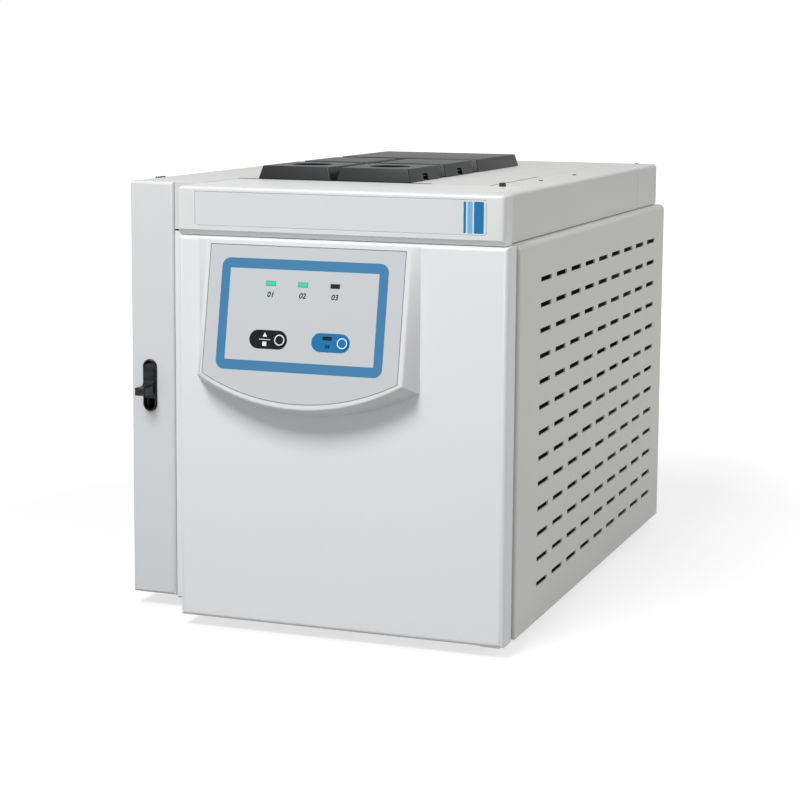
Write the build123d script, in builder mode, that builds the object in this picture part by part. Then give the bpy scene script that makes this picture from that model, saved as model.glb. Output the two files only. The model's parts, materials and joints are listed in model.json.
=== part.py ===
from build123d import *
import os
from math import atan2, cos, degrees, pi, radians, sin

# Bench-top gas chromatograph. +Z is up, the front faces -Y, and the origin is the
# middle of its footprint, on the bench. All sizes are in millimetres.

# ---- driving dimensions ----
body_depth = 670.0  # front of the oven door to the rear panel
body_height = 450.0  # underside of the base to the top cover
foot_height = 12.0
pan_rim = 22.0  # height of the base pan's edge
sheet = 1.5  # painted sheet steel of the case
side_sheet = 2.0  # the slotted side panels
moulding = 3.0  # wall of the moulded bezel and control housing
seam = 0.8  # gap between neighbouring covers
column_seam = 0.3  # beside the left front cover
flange = 13.0  # inward folds of the side panels
face_gap = 0.4  # between a moving piece and what it passes
running_fit = 0.05  # radial clearance of shafts and pins
sliding_fit = 0.3  # radial clearance of buttons and lenses

skirt_height = 50.0  # top cover and bezel, above the side panels
cover_step = 11.5  # the top cover is set in from the right side panel
bezel_end = 18.0  # the access cover reaches forward beside the bezel by this width
door_top_gap = 0.5  # between the door and the bezel
shoulder_radius = 6.0
upright_radius = 2.5
cover_radius = 5.0

column_width = 51.5  # left front cover
column_recess = 58.0  # its face, behind the door's face
column_return = 12.0

door_left_gap = 85.0  # left side of the case to the door's edge
door_right_gap = 1.5
door_thickness = 33.0
door_skin = 2.0
door_radius = 5.0
hinge_inset = 14.0  # hinge pin from the right side of the case
hinge_setback = 16.0  # hinge pin behind the door's face
hinge_pin_radius = 3.0
hinge_boss_radius = 7.0
hinge_boss_length = 18.0

frame_setback = 36.0  # oven front frame behind the door's face
frame_sheet = 2.0
post_setback = 60.0

oven_width = 260.0
oven_depth = 349.0
oven_height = 275.0
oven_left_gap = 125.0  # left side of the case to the cavity
oven_right_gap = 55.0  # cavity to the right side of the case
oven_floor = 60.0  # cavity floor above the bench
liner_sheet = 1.2
side_insulation = 30.0
floor_insulation = 46.0
roof_insulation = 37.0
rear_insulation = 35.0

plug_gap = 7.0  # door plug to the cavity walls
plug_depth = 25.0
gasket_width = 12.0
gasket_gap = 10.0  # gasket to the cavity mouth

vent_rows = 13
vent_columns = 9
vent_pitch_y = 58.4
vent_pitch_z = 26.6
vent_length = 39.5
vent_height = 5.0
vent_first_y = 131.5  # first column of slots behind the door's face
vent_first_z = 358.0  # top row of slots above the base

module_width = 84.4
module_depth = 104.0
module_gap_x = 6.2
module_gap_y = 13.0
module_right_gap = 155.8  # right side of the case to the modules
module_front = 148.0  # modules behind the door's face
rear_cap_depth = 162.0
cap_height = 14.0
cap_inset = 3.8  # the caps' sides lean in this far
cap_wall = 2.0
cap_window_radius = 22.0
cap_overhang = 4.0  # caps past the cut-out in the top cover
cap_hinge_inset = 7.0
cap_hinge_rise = 6.5
cap_hinge_radius = 1.5
deck_slot = 7.0  # dark gap in front of the modules
finger_slot = 3.0  # slot along the access cover, to lift it by
finger_slot_back = 0.0
end_line = 0.8  # groove near the access cover's rear end
end_line_y = 235.0

panel_centre_x = 9.0
panel_width = 240.0
panel_drop = 2.5  # its top edge below the door's
panel_corner = 146.0  # corners of the base outline below its top edge
panel_lowest = 176.0
panel_top_proud = 1.0
panel_tilt = 10.5  # degrees, the lower edge stands further out
panel_face_inset = 9.3  # the face is narrower than the base outline on each side
panel_face_corner = 138.2  # corners of the face below its top edge, along the tilt
panel_face_lowest = 168.3
panel_wall = 5.0
panel_cavity = 129.0  # bottom of the hollow below the top edge
hood_reach = 31.7  # exhaust hood behind the rear panel
overlay_sheet = 1.0
overlay_margin = 4.7  # film inside the face's sides
overlay_top = 4.2  # film's edges below the face's top edge, along the tilt
overlay_corner = 136.7
overlay_lowest = 162.8
button_radius = 6.3
button_travel = 0.8
button_rise = button_travel + 0.4  # above the film
lens_rise = 0.3
panel_rim_radius = 2.5
button_drop = 99.0  # buttons below the face's top edge, along the tilt
start_button_x = -22.6  # from the middle of the panel
service_button_x = 44.9
lens_width = 9.6
lens_height = 4.0
lens_pitch = 34.7
lens_drop = 42.5
lens_shift = -1.7

latch_x = 22.5  # latch centre from the left side of the case
latch_z = 231.5  # above the base
latch_length = 56.4
latch_width = 16.4
latch_reach = 25.5  # tab in front of the left cover
shaft_radius = 3.0
shaft_setback = 16.0  # latch shaft behind the left cover's face

fan_radius = 70.0
fan_blades = 10
heater_radius = 84.0
heater_rod = 3.2
motor_radius = 40.0
motor_length = 60.0
duct_width = 50.0
duct_height = 40.0
duct_sheet = 1.2

cooling_fan_size = 120.0
cooling_fan_depth = 25.0
cooling_fan_radius = 54.0

# ---- reference planes and positions worked out from them ----
body_width = oven_left_gap + oven_width + oven_right_gap
left = -body_width / 2
right = body_width / 2
front = -body_depth / 2
rear = body_depth / 2
base = foot_height
top = foot_height + body_height
panel_line = top - skirt_height - seam  # top of the side panels and the door
cover_right = right - cover_step
column_right = left + column_width
door_left = left + door_left_gap
door_right = right - door_right_gap
frame_left = door_left - 2.0
frame_right = right - flange - seam / 2
hinge_x = right - hinge_inset
hinge_y = front + hinge_setback
door_back = front + door_thickness
frame_y = front + frame_setback
oven_left = left + oven_left_gap
oven_right = oven_left + oven_width
oven_centre_x = oven_left + oven_width / 2
oven_back = frame_y + oven_depth
oven_top = oven_floor + oven_height
oven_centre_z = oven_floor + oven_height / 2
oven_mid_y = frame_y + 110.0
pan_top = base + sheet
insulation_top = oven_top + roof_insulation
insulation_back = oven_back + rear_insulation
module_x = [right - module_right_gap - module_width / 2 - step for step in (module_width + module_gap_x, 0)]
module_y = [front + module_front + module_depth / 2 + step for step in (0, module_depth + module_gap_y)]
cap_base = top + face_gap
cap_taper = degrees(atan2(cap_inset, cap_height))
latch_centre_x = left + latch_x
latch_centre_z = base + latch_z
column_face = front + column_recess
panel_front = column_face + column_return + seam
post_y = front + post_setback
shaft_y = column_face + shaft_setback
door_top = top - skirt_height - door_top_gap
panel_edge = door_top - panel_drop
panel_plane = Plane(
    origin=(panel_centre_x, front - panel_top_proud, panel_edge),
    x_dir=(1, 0, 0),
    z_dir=(0, -cos(radians(panel_tilt)), sin(radians(panel_tilt))),
)
fan_y = oven_back - 38.0


def block(x, y, z, mode=Mode.ADD):
    """A rectangular block between its low and high limits along each axis."""
    with Locations(((x[0] + x[1]) / 2, (y[0] + y[1]) / 2, (z[0] + z[1]) / 2)):
        Box(x[1] - x[0], y[1] - y[0], z[1] - z[0], mode=mode)


def rod_x(x, y, z, radius, mode=Mode.ADD):
    """A round rod along X between x[0] and x[1]."""
    with Locations(((x[0] + x[1]) / 2, y, z)):
        Cylinder(radius, x[1] - x[0], rotation=(0, 90, 0), mode=mode)


def rod_y(x, y, z, radius, mode=Mode.ADD):
    """A round rod along Y between y[0] and y[1]."""
    with Locations((x, (y[0] + y[1]) / 2, z)):
        Cylinder(radius, y[1] - y[0], rotation=(90, 0, 0), mode=mode)


def rod_z(x, y, z, radius, mode=Mode.ADD):
    """A round rod along Z between z[0] and z[1]."""
    with Locations((x, y, (z[0] + z[1]) / 2)):
        Cylinder(radius, z[1] - z[0], mode=mode)


def save(part, name):
    part.label = name
    export_step(part, f"parts/{name}.step")


os.makedirs("parts", exist_ok=True)

# ---- base and feet ----
with BuildPart() as base_pan:
    with BuildSketch(Plane.XY.offset(base)):
        with BuildLine():
            Polyline(
                (left + flange + seam / 2, panel_front),
                (column_right + column_seam, panel_front),
                (column_right + column_seam, post_y + sheet),
                (frame_left, post_y + sheet),
                (frame_left, frame_y + frame_sheet),
                (right - flange - seam / 2, frame_y + frame_sheet),
                (right - flange - seam / 2, rear - sheet),
                (left + flange + seam / 2, rear - sheet),
                close=True,
            )
        make_face()
    extrude(amount=pan_rim)
    offset(amount=-sheet, openings=base_pan.faces().sort_by(Axis.Z)[-1])
save(base_pan.part, "base_pan")

foot_radius = 19.0
with BuildPart() as feet:
    foot_spots = [
        (x, y)
        for x in (left + 55.0, right - 55.0)
        for y in (front + 115.0, rear - 55.0)
    ]
    with Locations([(x, y, base / 2) for x, y in foot_spots]):
        Cone(foot_radius - 2.0, foot_radius, base)
    fillet(feet.edges().group_by(Axis.Z)[0], radius=1.5)
save(feet.part, "feet")


# ---- case panels ----
def side_tray(x_out, x_in, y0):
    """A side panel with a rounded shoulder and folds towards the inside."""
    with BuildPart() as tray:
        block(sorted((x_out, x_in)), (y0, rear), (base, panel_line))
        outer = tray.faces().sort_by(Axis.X)[-1 if x_out > x_in else 0]
        shoulder = outer.edges().sort_by(Axis.Z)[-1]
        fillet(shoulder, radius=shoulder_radius)
        outer = tray.faces().sort_by(Axis.X)[-1 if x_out > x_in else 0]
        uprights = outer.edges().filter_by(Axis.Z)
        fillet(uprights, radius=upright_radius)
        inner = tray.faces().sort_by(Axis.X)[0 if x_out > x_in else -1]
        offset(amount=-side_sheet, openings=inner)
    return tray.part


right_blank = side_tray(right, right - flange, frame_y)
with BuildPart() as right_side_panel:
    add(right_blank)
    vent_mid_y = front + vent_first_y + vent_pitch_y * (vent_columns - 1) / 2
    vent_mid_z = base + vent_first_z - vent_pitch_z * (vent_rows - 1) / 2
    vent_plane = Plane(origin=(right, vent_mid_y, vent_mid_z), x_dir=(0, 1, 0), z_dir=(1, 0, 0))
    with BuildSketch(vent_plane):
        with GridLocations(vent_pitch_y, vent_pitch_z, vent_columns, vent_rows):
            Rectangle(vent_length, vent_height)
    extrude(amount=-2 * side_sheet, mode=Mode.SUBTRACT)
save(right_side_panel.part, "right_side_panel")

left_vent_rows = 8
left_vent_columns = 3
left_blank = side_tray(left, left + flange, panel_front)
with BuildPart() as left_side_panel:
    add(left_blank)
    vent_plane = Plane(
        origin=(left, rear - 150.0, base + 150.0), x_dir=(0, -1, 0), z_dir=(-1, 0, 0)
    )
    with BuildSketch(vent_plane):
        with GridLocations(vent_pitch_y, vent_pitch_z, left_vent_columns, left_vent_rows):
            Rectangle(vent_length, vent_height)
    extrude(amount=-2 * side_sheet, mode=Mode.SUBTRACT)
save(left_side_panel.part, "left_side_panel")

cover_front = front + module_front - 3.5  # rear edge of the bezel's top plus a seam
access_left = right - 65.0
cutout_left = module_x[0] - module_width / 2 + cap_overhang
cutout_right = module_x[1] + module_width / 2 - cap_overhang
rear_cap_y = module_y[1] + module_depth / 2 + module_gap_y + rear_cap_depth / 2
cutout_back = rear_cap_y + rear_cap_depth / 2 - cap_overhang
with BuildPart() as cover_cavity:
    with BuildSketch(Plane.XY.offset(top - skirt_height - 1)):
        with BuildLine():
            Polyline(
                (left + sheet, panel_front + sheet),
                (column_right + column_seam + sheet, panel_front + sheet),
                (column_right + column_seam + sheet, post_y + sheet),
                (door_left - seam - sheet, post_y + sheet),
                (door_left - seam - sheet, cover_front - 1),
                (access_left, cover_front - 1),
                (access_left, rear - sheet),
                (left + sheet, rear - sheet),
                close=True,
            )
        make_face()
    extrude(amount=skirt_height + 1 - sheet)
    fillet(cover_cavity.faces().sort_by(Axis.Z)[-1].edges().sort_by(Axis.X)[0], radius=cover_radius - sheet)

with BuildPart() as top_cover:
    with BuildSketch(Plane.XY.offset(top - skirt_height)):
        with BuildLine():
            Polyline(
                (left, panel_front),
                (column_right + column_seam, panel_front),
                (column_right + column_seam, post_y),
                (door_left - seam, post_y),
                (door_left - seam, cover_front),
                (access_left - seam, cover_front),
                (access_left - seam, rear),
                (left, rear),
                close=True,
            )
        make_face()
    extrude(amount=skirt_height)
    fillet(top_cover.faces().sort_by(Axis.Z)[-1].edges().sort_by(Axis.X)[0], radius=cover_radius)
    add(cover_cavity.part, mode=Mode.SUBTRACT)
    block(
        (cutout_left, cutout_right),
        (cover_front - 1, cutout_back),
        (top - 2 * sheet, top + 1),
        mode=Mode.SUBTRACT,
    )
    block(
        (cutout_left - 28.0, cutout_right + 27.0),
        (cover_front - 1, cover_front + deck_slot - seam),
        (top - 2 * sheet, top + 1),
        mode=Mode.SUBTRACT,
    )
    block(
        (access_left - seam - finger_slot, access_left),
        (cover_front - 1, finger_slot_back),
        (top - 2 * sheet, top + 1),
        mode=Mode.SUBTRACT,
    )
save(top_cover.part, "top_cover")

bezel_lip = 6.0
bezel_side = 6.0  # the bezel's right side, set in from the side panel
bezel_side_depth = 27.0
access_front = front + bezel_side_depth + seam
access_step = cover_right - bezel_end
with BuildPart() as top_access_cover:
    block((access_left, cover_right), (cover_front, rear), (top - skirt_height, top))
    block((access_step + seam, cover_right), (access_front, cover_front), (top - skirt_height, top))
    outer = top_access_cover.faces().sort_by(Axis.X)[-1]
    fillet(outer.edges().sort_by(Axis.Z)[-1], radius=cover_radius)
    inside = (top - skirt_height - 1, top - sheet)
    block((access_left - 1, cover_right - sheet), (cover_front - 1, rear - sheet), inside, mode=Mode.SUBTRACT)
    block((access_step, cover_right - sheet), (access_front - 1, cover_front), inside, mode=Mode.SUBTRACT)
    block(
        (cover_right - end_line / 2, cover_right + 1),
        (end_line_y, end_line_y + end_line),
        (top - skirt_height - 1, top + 1),
        mode=Mode.SUBTRACT,
    )
save(top_access_cover.part, "top_access_cover")

label_left = left + 104.0
label_right = right - 24.0
label_drop = 4.8  # below the top of the case
label_height = 34.6
label_sheet = 0.8
label_z = (top - label_drop - label_height, top - label_drop)
with BuildPart() as front_bezel:
    with BuildSketch(Plane.XY.offset(top - skirt_height)):
        with BuildLine():
            Polyline(
                (door_left, front),
                (right - bezel_side, front),
                (right - bezel_side, front + bezel_side_depth),
                (access_step, front + bezel_side_depth),
                (access_step, cover_front - seam),
                (door_left, cover_front - seam),
                close=True,
            )
        make_face()
    extrude(amount=skirt_height)
    uprights = front_bezel.edges().filter_by(Axis.Z).group_by(Axis.Y)[0]
    fillet(uprights.sort_by(Axis.X)[-1], radius=4.5)
    fillet(front_bezel.edges().filter_by(Axis.Z).group_by(Axis.Y)[0].sort_by(Axis.X)[0], radius=2.0)
    rim = front_bezel.faces().sort_by(Axis.Z)[-1].edges()
    back_edge = rim.sort_by(Axis.Y)[-1]
    rim_back = back_edge.center().Y - 1.0
    outer_rim = rim.filter_by(lambda e: e.center().Y < rim_back and e.center().X > door_left + 0.5)
    fillet(outer_rim, radius=3.5)
    with BuildSketch(Plane.YZ.offset(door_left - 1)):
        with BuildLine():
            Polyline(
                (front - 1, top - skirt_height - 1),
                (front + bezel_lip + 1, top - skirt_height - 1),
                (front - 1, top - skirt_height + bezel_lip + 1),
                close=True,
            )
        make_face()
    extrude(amount=body_width, mode=Mode.SUBTRACT)
    block(
        (door_left + moulding, access_step - moulding),
        (front + bezel_lip + 2.0, cover_front),
        (top - skirt_height - 1, top - moulding),
        mode=Mode.SUBTRACT,
    )
    block(
        (door_left + moulding, right - bezel_side - moulding),
        (front + moulding, front + bezel_side_depth - moulding),
        (top - skirt_height + bezel_lip + 2.0, top - moulding),
        mode=Mode.SUBTRACT,
    )
    block(
        (hinge_x - 18.0, right - bezel_side - moulding),
        (front + bezel_lip + 2.0, front + bezel_side_depth - moulding),
        (top - skirt_height - 1, top - moulding),
        mode=Mode.SUBTRACT,
    )
    block(
        (access_step - moulding - 1, cover_right - moulding + 1),
        (front + bezel_side_depth - moulding - 1, front + bezel_side_depth + 1),
        (top - skirt_height - 1, top - skirt_height + 6.0),
        mode=Mode.SUBTRACT,
    )
    block(
        (label_left, label_right),
        (front - 1, front + label_sheet),
        label_z,
        mode=Mode.SUBTRACT,
    )
save(front_bezel.part, "front_bezel")

with BuildPart() as label_plate:
    label_mid_x = (label_left + label_right) / 2
    label_mid_z = (label_z[0] + label_z[1]) / 2
    with BuildSketch(Plane.XZ.offset(-front - label_sheet)):
        with Locations((label_mid_x, label_mid_z)):
            RectangleRounded(label_right - label_left - 0.6, label_height - 0.6, 3.5)
    extrude(amount=label_sheet)
save(label_plate.part, "label_plate")

with BuildPart() as left_column_cover:
    block((left, column_right), (column_face, column_face + column_return), (base + 3.0, top))
    face = left_column_cover.faces().sort_by(Axis.Y)[0]
    fillet(face.edges(), radius=4.0)
    offset(amount=-2.0, openings=left_column_cover.faces().sort_by(Axis.Y)[-1])
    with BuildSketch(Plane.XZ.offset(-column_face)):
        with Locations((latch_centre_x, latch_centre_z)):
            SlotOverall(latch_length - 1.6, latch_width - 1.6, rotation=90)
    extrude(amount=-5.0, mode=Mode.SUBTRACT)
save(left_column_cover.part, "left_column_cover")

# ---- oven front frame: one folded sheet from the left post to the right side ----
striker_x = (door_left + 5.0, door_left + 8.0)
striker_z = (latch_centre_z + 2.5, latch_centre_z + 9.5)
with BuildPart() as oven_front_frame:
    with BuildSketch(Plane.XY.offset(pan_top)):
        with BuildLine():
            Polyline(
                (column_right + column_seam, post_y),
                (frame_left - sheet, post_y),
                (frame_left - sheet, frame_y),
                (frame_right, frame_y),
                (frame_right, frame_y + frame_sheet),
                (frame_left, frame_y + frame_sheet),
                (frame_left, post_y + sheet),
                (column_right + column_seam, post_y + sheet),
                close=True,
            )
        make_face()
    extrude(amount=panel_line - 1.0 - pan_top)
    block((oven_left, oven_right), (frame_y - 1, frame_y + 5), (oven_floor, oven_top), mode=Mode.SUBTRACT)
    block(
        (striker_x[0] - 4.0, striker_x[1] + 2.0),
        (frame_y - 1, frame_y + 5),
        (striker_z[0] - 8.0, striker_z[1] + 8.0),
        mode=Mode.SUBTRACT,
    )
save(oven_front_frame.part, "oven_front_frame")

# ---- latch: escutcheon, lever, shaft with its roller arm, roller, bracket ----
latch_rim = 1.8
lever_half = latch_width / 2 - latch_rim - 0.5
with BuildPart() as latch_escutcheon:
    with BuildSketch(Plane.XZ.offset(-column_face)):
        with Locations((latch_centre_x, latch_centre_z)):
            SlotOverall(latch_length, latch_width, rotation=90)
    extrude(amount=2.4)
    fillet(latch_escutcheon.faces().sort_by(Axis.Y)[0].edges(), radius=1.6)
    with BuildSketch(Plane.XZ.offset(-column_face)):
        with Locations((latch_centre_x, latch_centre_z)):
            SlotOverall(latch_length - 2.2, latch_width - 2.2, rotation=90)
    extrude(amount=-5.0)
    with BuildSketch(Plane.XZ.offset(-column_face + 3.0)):
        with Locations((latch_centre_x, latch_centre_z)):
            SlotOverall(latch_length - 2 * latch_rim, latch_width - 2 * latch_rim, rotation=90)
    extrude(amount=-9.0, mode=Mode.SUBTRACT)
save(latch_escutcheon.part, "latch_escutcheon")

lever_x = (latch_centre_x - lever_half, latch_centre_x + lever_half)
lever_top = latch_centre_z + latch_length / 2 - latch_rim - 0.8
tab_end = column_face - latch_reach
with BuildPart() as latch_lever:
    with BuildSketch(Plane.YZ.offset(lever_x[0])):
        with BuildLine():
            Line((shaft_y - 10.0, lever_top), (column_face + 1.5, lever_top))
            ThreePointArc(
                (column_face + 1.5, lever_top),
                (column_face - 3.2, lever_top - 9.0),
                (column_face - 3.0, latch_centre_z + 9.0),
            )
            ThreePointArc(
                (column_face - 3.0, latch_centre_z + 9.0),
                (column_face - 5.0, latch_centre_z + 3.0),
                (column_face - 10.0, latch_centre_z),
            )
            Polyline(
                (column_face - 10.0, latch_centre_z),
                (tab_end, latch_centre_z + 0.2),
                (tab_end, latch_centre_z - 8.0),
                (column_face - 3.0, latch_centre_z - 9.0),
                (column_face - 1.0, latch_centre_z - 14.0),
                (column_face + 3.0, latch_centre_z - 14.0),
                (shaft_y, latch_centre_z - 7.0),
                (shaft_y, latch_centre_z + 7.0),
                (shaft_y - 10.0, lever_top),
            )
        make_face()
        with Locations((shaft_y, latch_centre_z)):
            Circle(7.0)
    extrude(amount=2 * lever_half)
    tip = latch_lever.faces().sort_by(Axis.Y)[0]
    fillet(tip.edges(), radius=1.2)
    with BuildSketch(Plane.XZ.offset(-tab_end + 1)):
        with Locations((latch_centre_x, latch_centre_z)):
            SlotOverall(latch_length - 2 * latch_rim - 1.2, 2 * lever_half, rotation=90)
    extrude(amount=-80.0, mode=Mode.INTERSECT)
    rod_x((lever_x[0] - 1, lever_x[1] + 1), shaft_y, latch_centre_z, shaft_radius, mode=Mode.SUBTRACT)
save(latch_lever.part, "latch_lever")

arm_x = (striker_x[0] - 6.0, striker_x[0] - 2.5)
roller_radius = 3.5
roller_pin = 1.5
roller_y = frame_y + 16.0
catch_depth = 1.0  # how far the roller stands in the striker's notch
roller_z = striker_z[0] - roller_radius + catch_depth
with BuildPart() as latch_shaft:
    rod_x((lever_x[0], arm_x[1]), shaft_y, latch_centre_z, shaft_radius)
    with BuildSketch(Plane.YZ.offset(arm_x[0])):
        with Locations((shaft_y, latch_centre_z)):
            Circle(6.0)
        with Locations((roller_y, roller_z)):
            Circle(4.0)
        with BuildLine():
            Polyline(
                (shaft_y, latch_centre_z + 6.0),
                (roller_y, roller_z + 4.0),
                (roller_y, roller_z - 4.0),
                (shaft_y, latch_centre_z - 6.0),
                close=True,
            )
        make_face()
    extrude(amount=arm_x[1] - arm_x[0])
    rod_x((arm_x[1] - 0.5, striker_x[1] + 1.0), roller_y, roller_z, roller_pin)
save(latch_shaft.part, "latch_shaft")

with BuildPart() as latch_roller:
    rod_x((arm_x[1] + 0.4, striker_x[1] + 0.6), roller_y, roller_z, roller_radius)
    rod_x((arm_x[1] - 1, striker_x[1] + 2), roller_y, roller_z, roller_pin + running_fit, mode=Mode.SUBTRACT)
save(latch_roller.part, "latch_roller")

bracket_x = (column_right + 7.0, column_right + 24.0)
with BuildPart() as latch_bracket:
    block(bracket_x, (post_y + sheet, shaft_y + 6.0), (latch_centre_z - 11.0, latch_centre_z + 11.0))
    block(
        (bracket_x[0] + 2.5, bracket_x[1] - 2.5),
        (post_y + sheet + 2.0, shaft_y + 8.0),
        (latch_centre_z - 12.0, latch_centre_z + 12.0),
        mode=Mode.SUBTRACT,
    )
    shaft_bore = shaft_radius + running_fit
    rod_x((bracket_x[0] - 1, bracket_x[1] + 1), shaft_y, latch_centre_z, shaft_bore, mode=Mode.SUBTRACT)
save(latch_bracket.part, "latch_bracket")

# ---- oven door ----
door_bottom = base
door_lip = 8.0  # the skin's return along the hinge side
with BuildPart() as door_cavity:
    block(
        (door_left + door_skin, door_right - door_skin),
        (front + door_skin, door_back - door_skin),
        (door_bottom + door_skin, door_top - door_skin),
    )
    hinge_side = door_cavity.edges().filter_by(Axis.Z).sort_by(Axis.X)[2:]
    fillet(hinge_side.sort_by(Axis.Y)[-1], radius=6.0 - door_skin)
    fillet(door_cavity.faces().sort_by(Axis.Y)[0].edges(), radius=door_radius - door_skin)
    block(
        (door_left + door_skin, door_right - door_lip),
        (door_back - door_skin - 2, door_back + 1),
        (door_bottom + door_skin, door_top - door_skin),
    )

with BuildPart() as oven_door_shell:
    block((door_left, door_right), (front, door_back), (door_bottom, door_top))
    rear_right = oven_door_shell.edges().filter_by(Axis.Z).group_by(Axis.Y)[-1].sort_by(Axis.X)[-1]
    fillet(rear_right, radius=6.0)
    fillet(oven_door_shell.faces().sort_by(Axis.Y)[0].edges(), radius=door_radius)
    add(door_cavity.part, mode=Mode.SUBTRACT)
    for z in (
        (door_bottom + door_skin, door_bottom + door_skin + hinge_boss_length),
        (door_top - door_skin - hinge_boss_length, door_top - door_skin),
    ):
        rod_z(hinge_x, hinge_y, z, hinge_boss_radius)
    for z in (
        (door_bottom - 1, door_bottom + hinge_boss_length),
        (door_top - hinge_boss_length, door_top + 1),
    ):
        rod_z(hinge_x, hinge_y, z, hinge_pin_radius + running_fit, mode=Mode.SUBTRACT)
save(oven_door_shell.part, "oven_door_shell")

inner_right = door_right - door_lip - 0.5
plug_x = (oven_left + plug_gap, oven_right - plug_gap)
plug_z = (oven_floor + plug_gap, oven_top - plug_gap)
with BuildPart() as door_inner_panel:
    block(
        (door_left + door_skin + 0.5, inner_right),
        (door_back - door_skin, door_back),
        (door_bottom + door_skin + 0.5, door_top - door_skin - 0.5),
    )
    block(plug_x, (door_back - door_skin, door_back + plug_depth), plug_z)
    block(
        (plug_x[0] + sheet, plug_x[1] - sheet),
        (door_back - door_skin - 1, door_back + plug_depth - sheet),
        (plug_z[0] + sheet, plug_z[1] - sheet),
        mode=Mode.SUBTRACT,
    )
    plug_face = door_inner_panel.faces().sort_by(Axis.Y)[-1]
    fillet(plug_face.edges(), radius=1.2)
save(door_inner_panel.part, "door_inner_panel")

with BuildPart() as door_insulation:
    block(
        (door_left + door_skin + 0.5, hinge_x - hinge_boss_radius - 2.0),
        (front + door_skin, door_back - door_skin),
        (door_bottom + door_skin + 0.5, door_top - door_skin - 0.5),
    )
    fillet(door_insulation.faces().sort_by(Axis.Y)[0].edges(), radius=door_radius)
    block(
        (plug_x[0] + sheet, plug_x[1] - sheet),
        (front + door_skin, door_back + plug_depth - sheet),
        (plug_z[0] + sheet, plug_z[1] - sheet),
    )
save(door_insulation.part, "door_insulation")

gasket_depth = frame_y - door_back - face_gap
with BuildPart() as door_gasket:
    with BuildSketch(Plane.XZ.offset(-door_back - gasket_depth)):
        with Locations((oven_centre_x, oven_centre_z)):
            grow = 2 * (gasket_gap + gasket_width)
            RectangleRounded(oven_width + grow, oven_height + grow, 20.0)
            RectangleRounded(
                oven_width + 2 * gasket_gap, oven_height + 2 * gasket_gap, 10.0, mode=Mode.SUBTRACT
            )
    extrude(amount=gasket_depth)
save(door_gasket.part, "door_gasket")

with BuildPart() as door_striker:
    block(striker_x, (door_back, roller_y + 10.0), striker_z)
    rod_x((striker_x[0] - 1, striker_x[1] + 1), roller_y, roller_z, roller_radius + 0.6, mode=Mode.SUBTRACT)
    block(
        (striker_x[0], striker_x[1] + 4.0),
        (door_back, door_back + 2.0),
        (striker_z[0] - 5.0, striker_z[1] + 5.0),
    )
save(door_striker.part, "door_striker")

bracket_left = right - 28.0
with BuildPart() as door_hinges:
    block((bracket_left, right - 8.0), (hinge_y - 6.0, frame_y + frame_sheet), (base - 2.8, base - face_gap))
    block((bracket_left, right - 8.0), (frame_y + frame_sheet, frame_y + 34.0), (base - 2.8, base))
    rod_z(hinge_x, hinge_y, (base - 2.8, base + hinge_boss_length - 4.0), hinge_pin_radius)
    block(
        (bracket_left, cover_right - moulding - 0.6),
        (hinge_y - 6.0, frame_y + 40.0),
        (door_top + 1.4, door_top + 4.4),
    )
    block(
        (bracket_left, hinge_x - 4.0),
        (frame_y + frame_sheet, frame_y + 2 * frame_sheet),
        (door_top - 20.0, door_top + 1.4),
    )
    rod_z(hinge_x, hinge_y, (door_top + 1.4, door_top + 4.4), hinge_pin_radius + 1.5)
    rod_z(hinge_x, hinge_y, (door_top - hinge_boss_length + 4.0, door_top + 4.0), hinge_pin_radius)
save(door_hinges.part, "door_hinges")


# ---- control panel on the door ----
def panel_outline(half, high, corner, low):
    """A flat shape with straight top and sides and a curved lower edge."""
    with BuildSketch() as outline:
        with BuildLine():
            Polyline((-half, corner), (-half, high), (half, high), (half, corner))
            ThreePointArc((half, corner), (0, low), (-half, corner))
        make_face()
    return outline.sketch


button_spots = [(start_button_x, -button_drop), (service_button_x, -button_drop)]
overlay_half = panel_width / 2 - panel_face_inset - overlay_margin
with BuildPart() as housing_cavity:
    block(
        (panel_centre_x - 88.0, panel_centre_x + 88.0),
        (front - 60.0, front + 1),
        (panel_edge - panel_cavity, panel_edge - 8.0),
    )
    split(bisect_by=panel_plane.offset(-panel_wall), keep=Keep.BOTTOM)

with BuildPart() as control_housing:
    with BuildSketch(Plane(origin=(panel_centre_x, front, panel_edge), x_dir=(1, 0, 0), z_dir=(0, -1, 0))):
        add(panel_outline(panel_width / 2, 0, -panel_corner, -panel_lowest))
    with BuildSketch(panel_plane):
        add(panel_outline(panel_width / 2 - panel_face_inset, -0.4, -panel_face_corner, -panel_face_lowest))
    loft(ruled=True)
    rim = control_housing.faces().filter_by(lambda f: f.normal_at().dot(panel_plane.z_dir) > 0.999)
    lower_rim = rim.edges().filter_by(lambda e: e.center().Z < panel_edge - 20.0)
    fillet(lower_rim, radius=panel_rim_radius)
    with BuildSketch(panel_plane):
        add(panel_outline(overlay_half, -overlay_top, -overlay_corner, -overlay_lowest))
    extrude(amount=-overlay_sheet, mode=Mode.SUBTRACT)
    with BuildSketch(panel_plane):
        with Locations(*button_spots):
            Circle(button_radius + sliding_fit)
    extrude(amount=-panel_wall - 1.0, mode=Mode.SUBTRACT)
    add(housing_cavity.part, mode=Mode.SUBTRACT)
save(control_housing.part, "control_housing")

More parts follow.
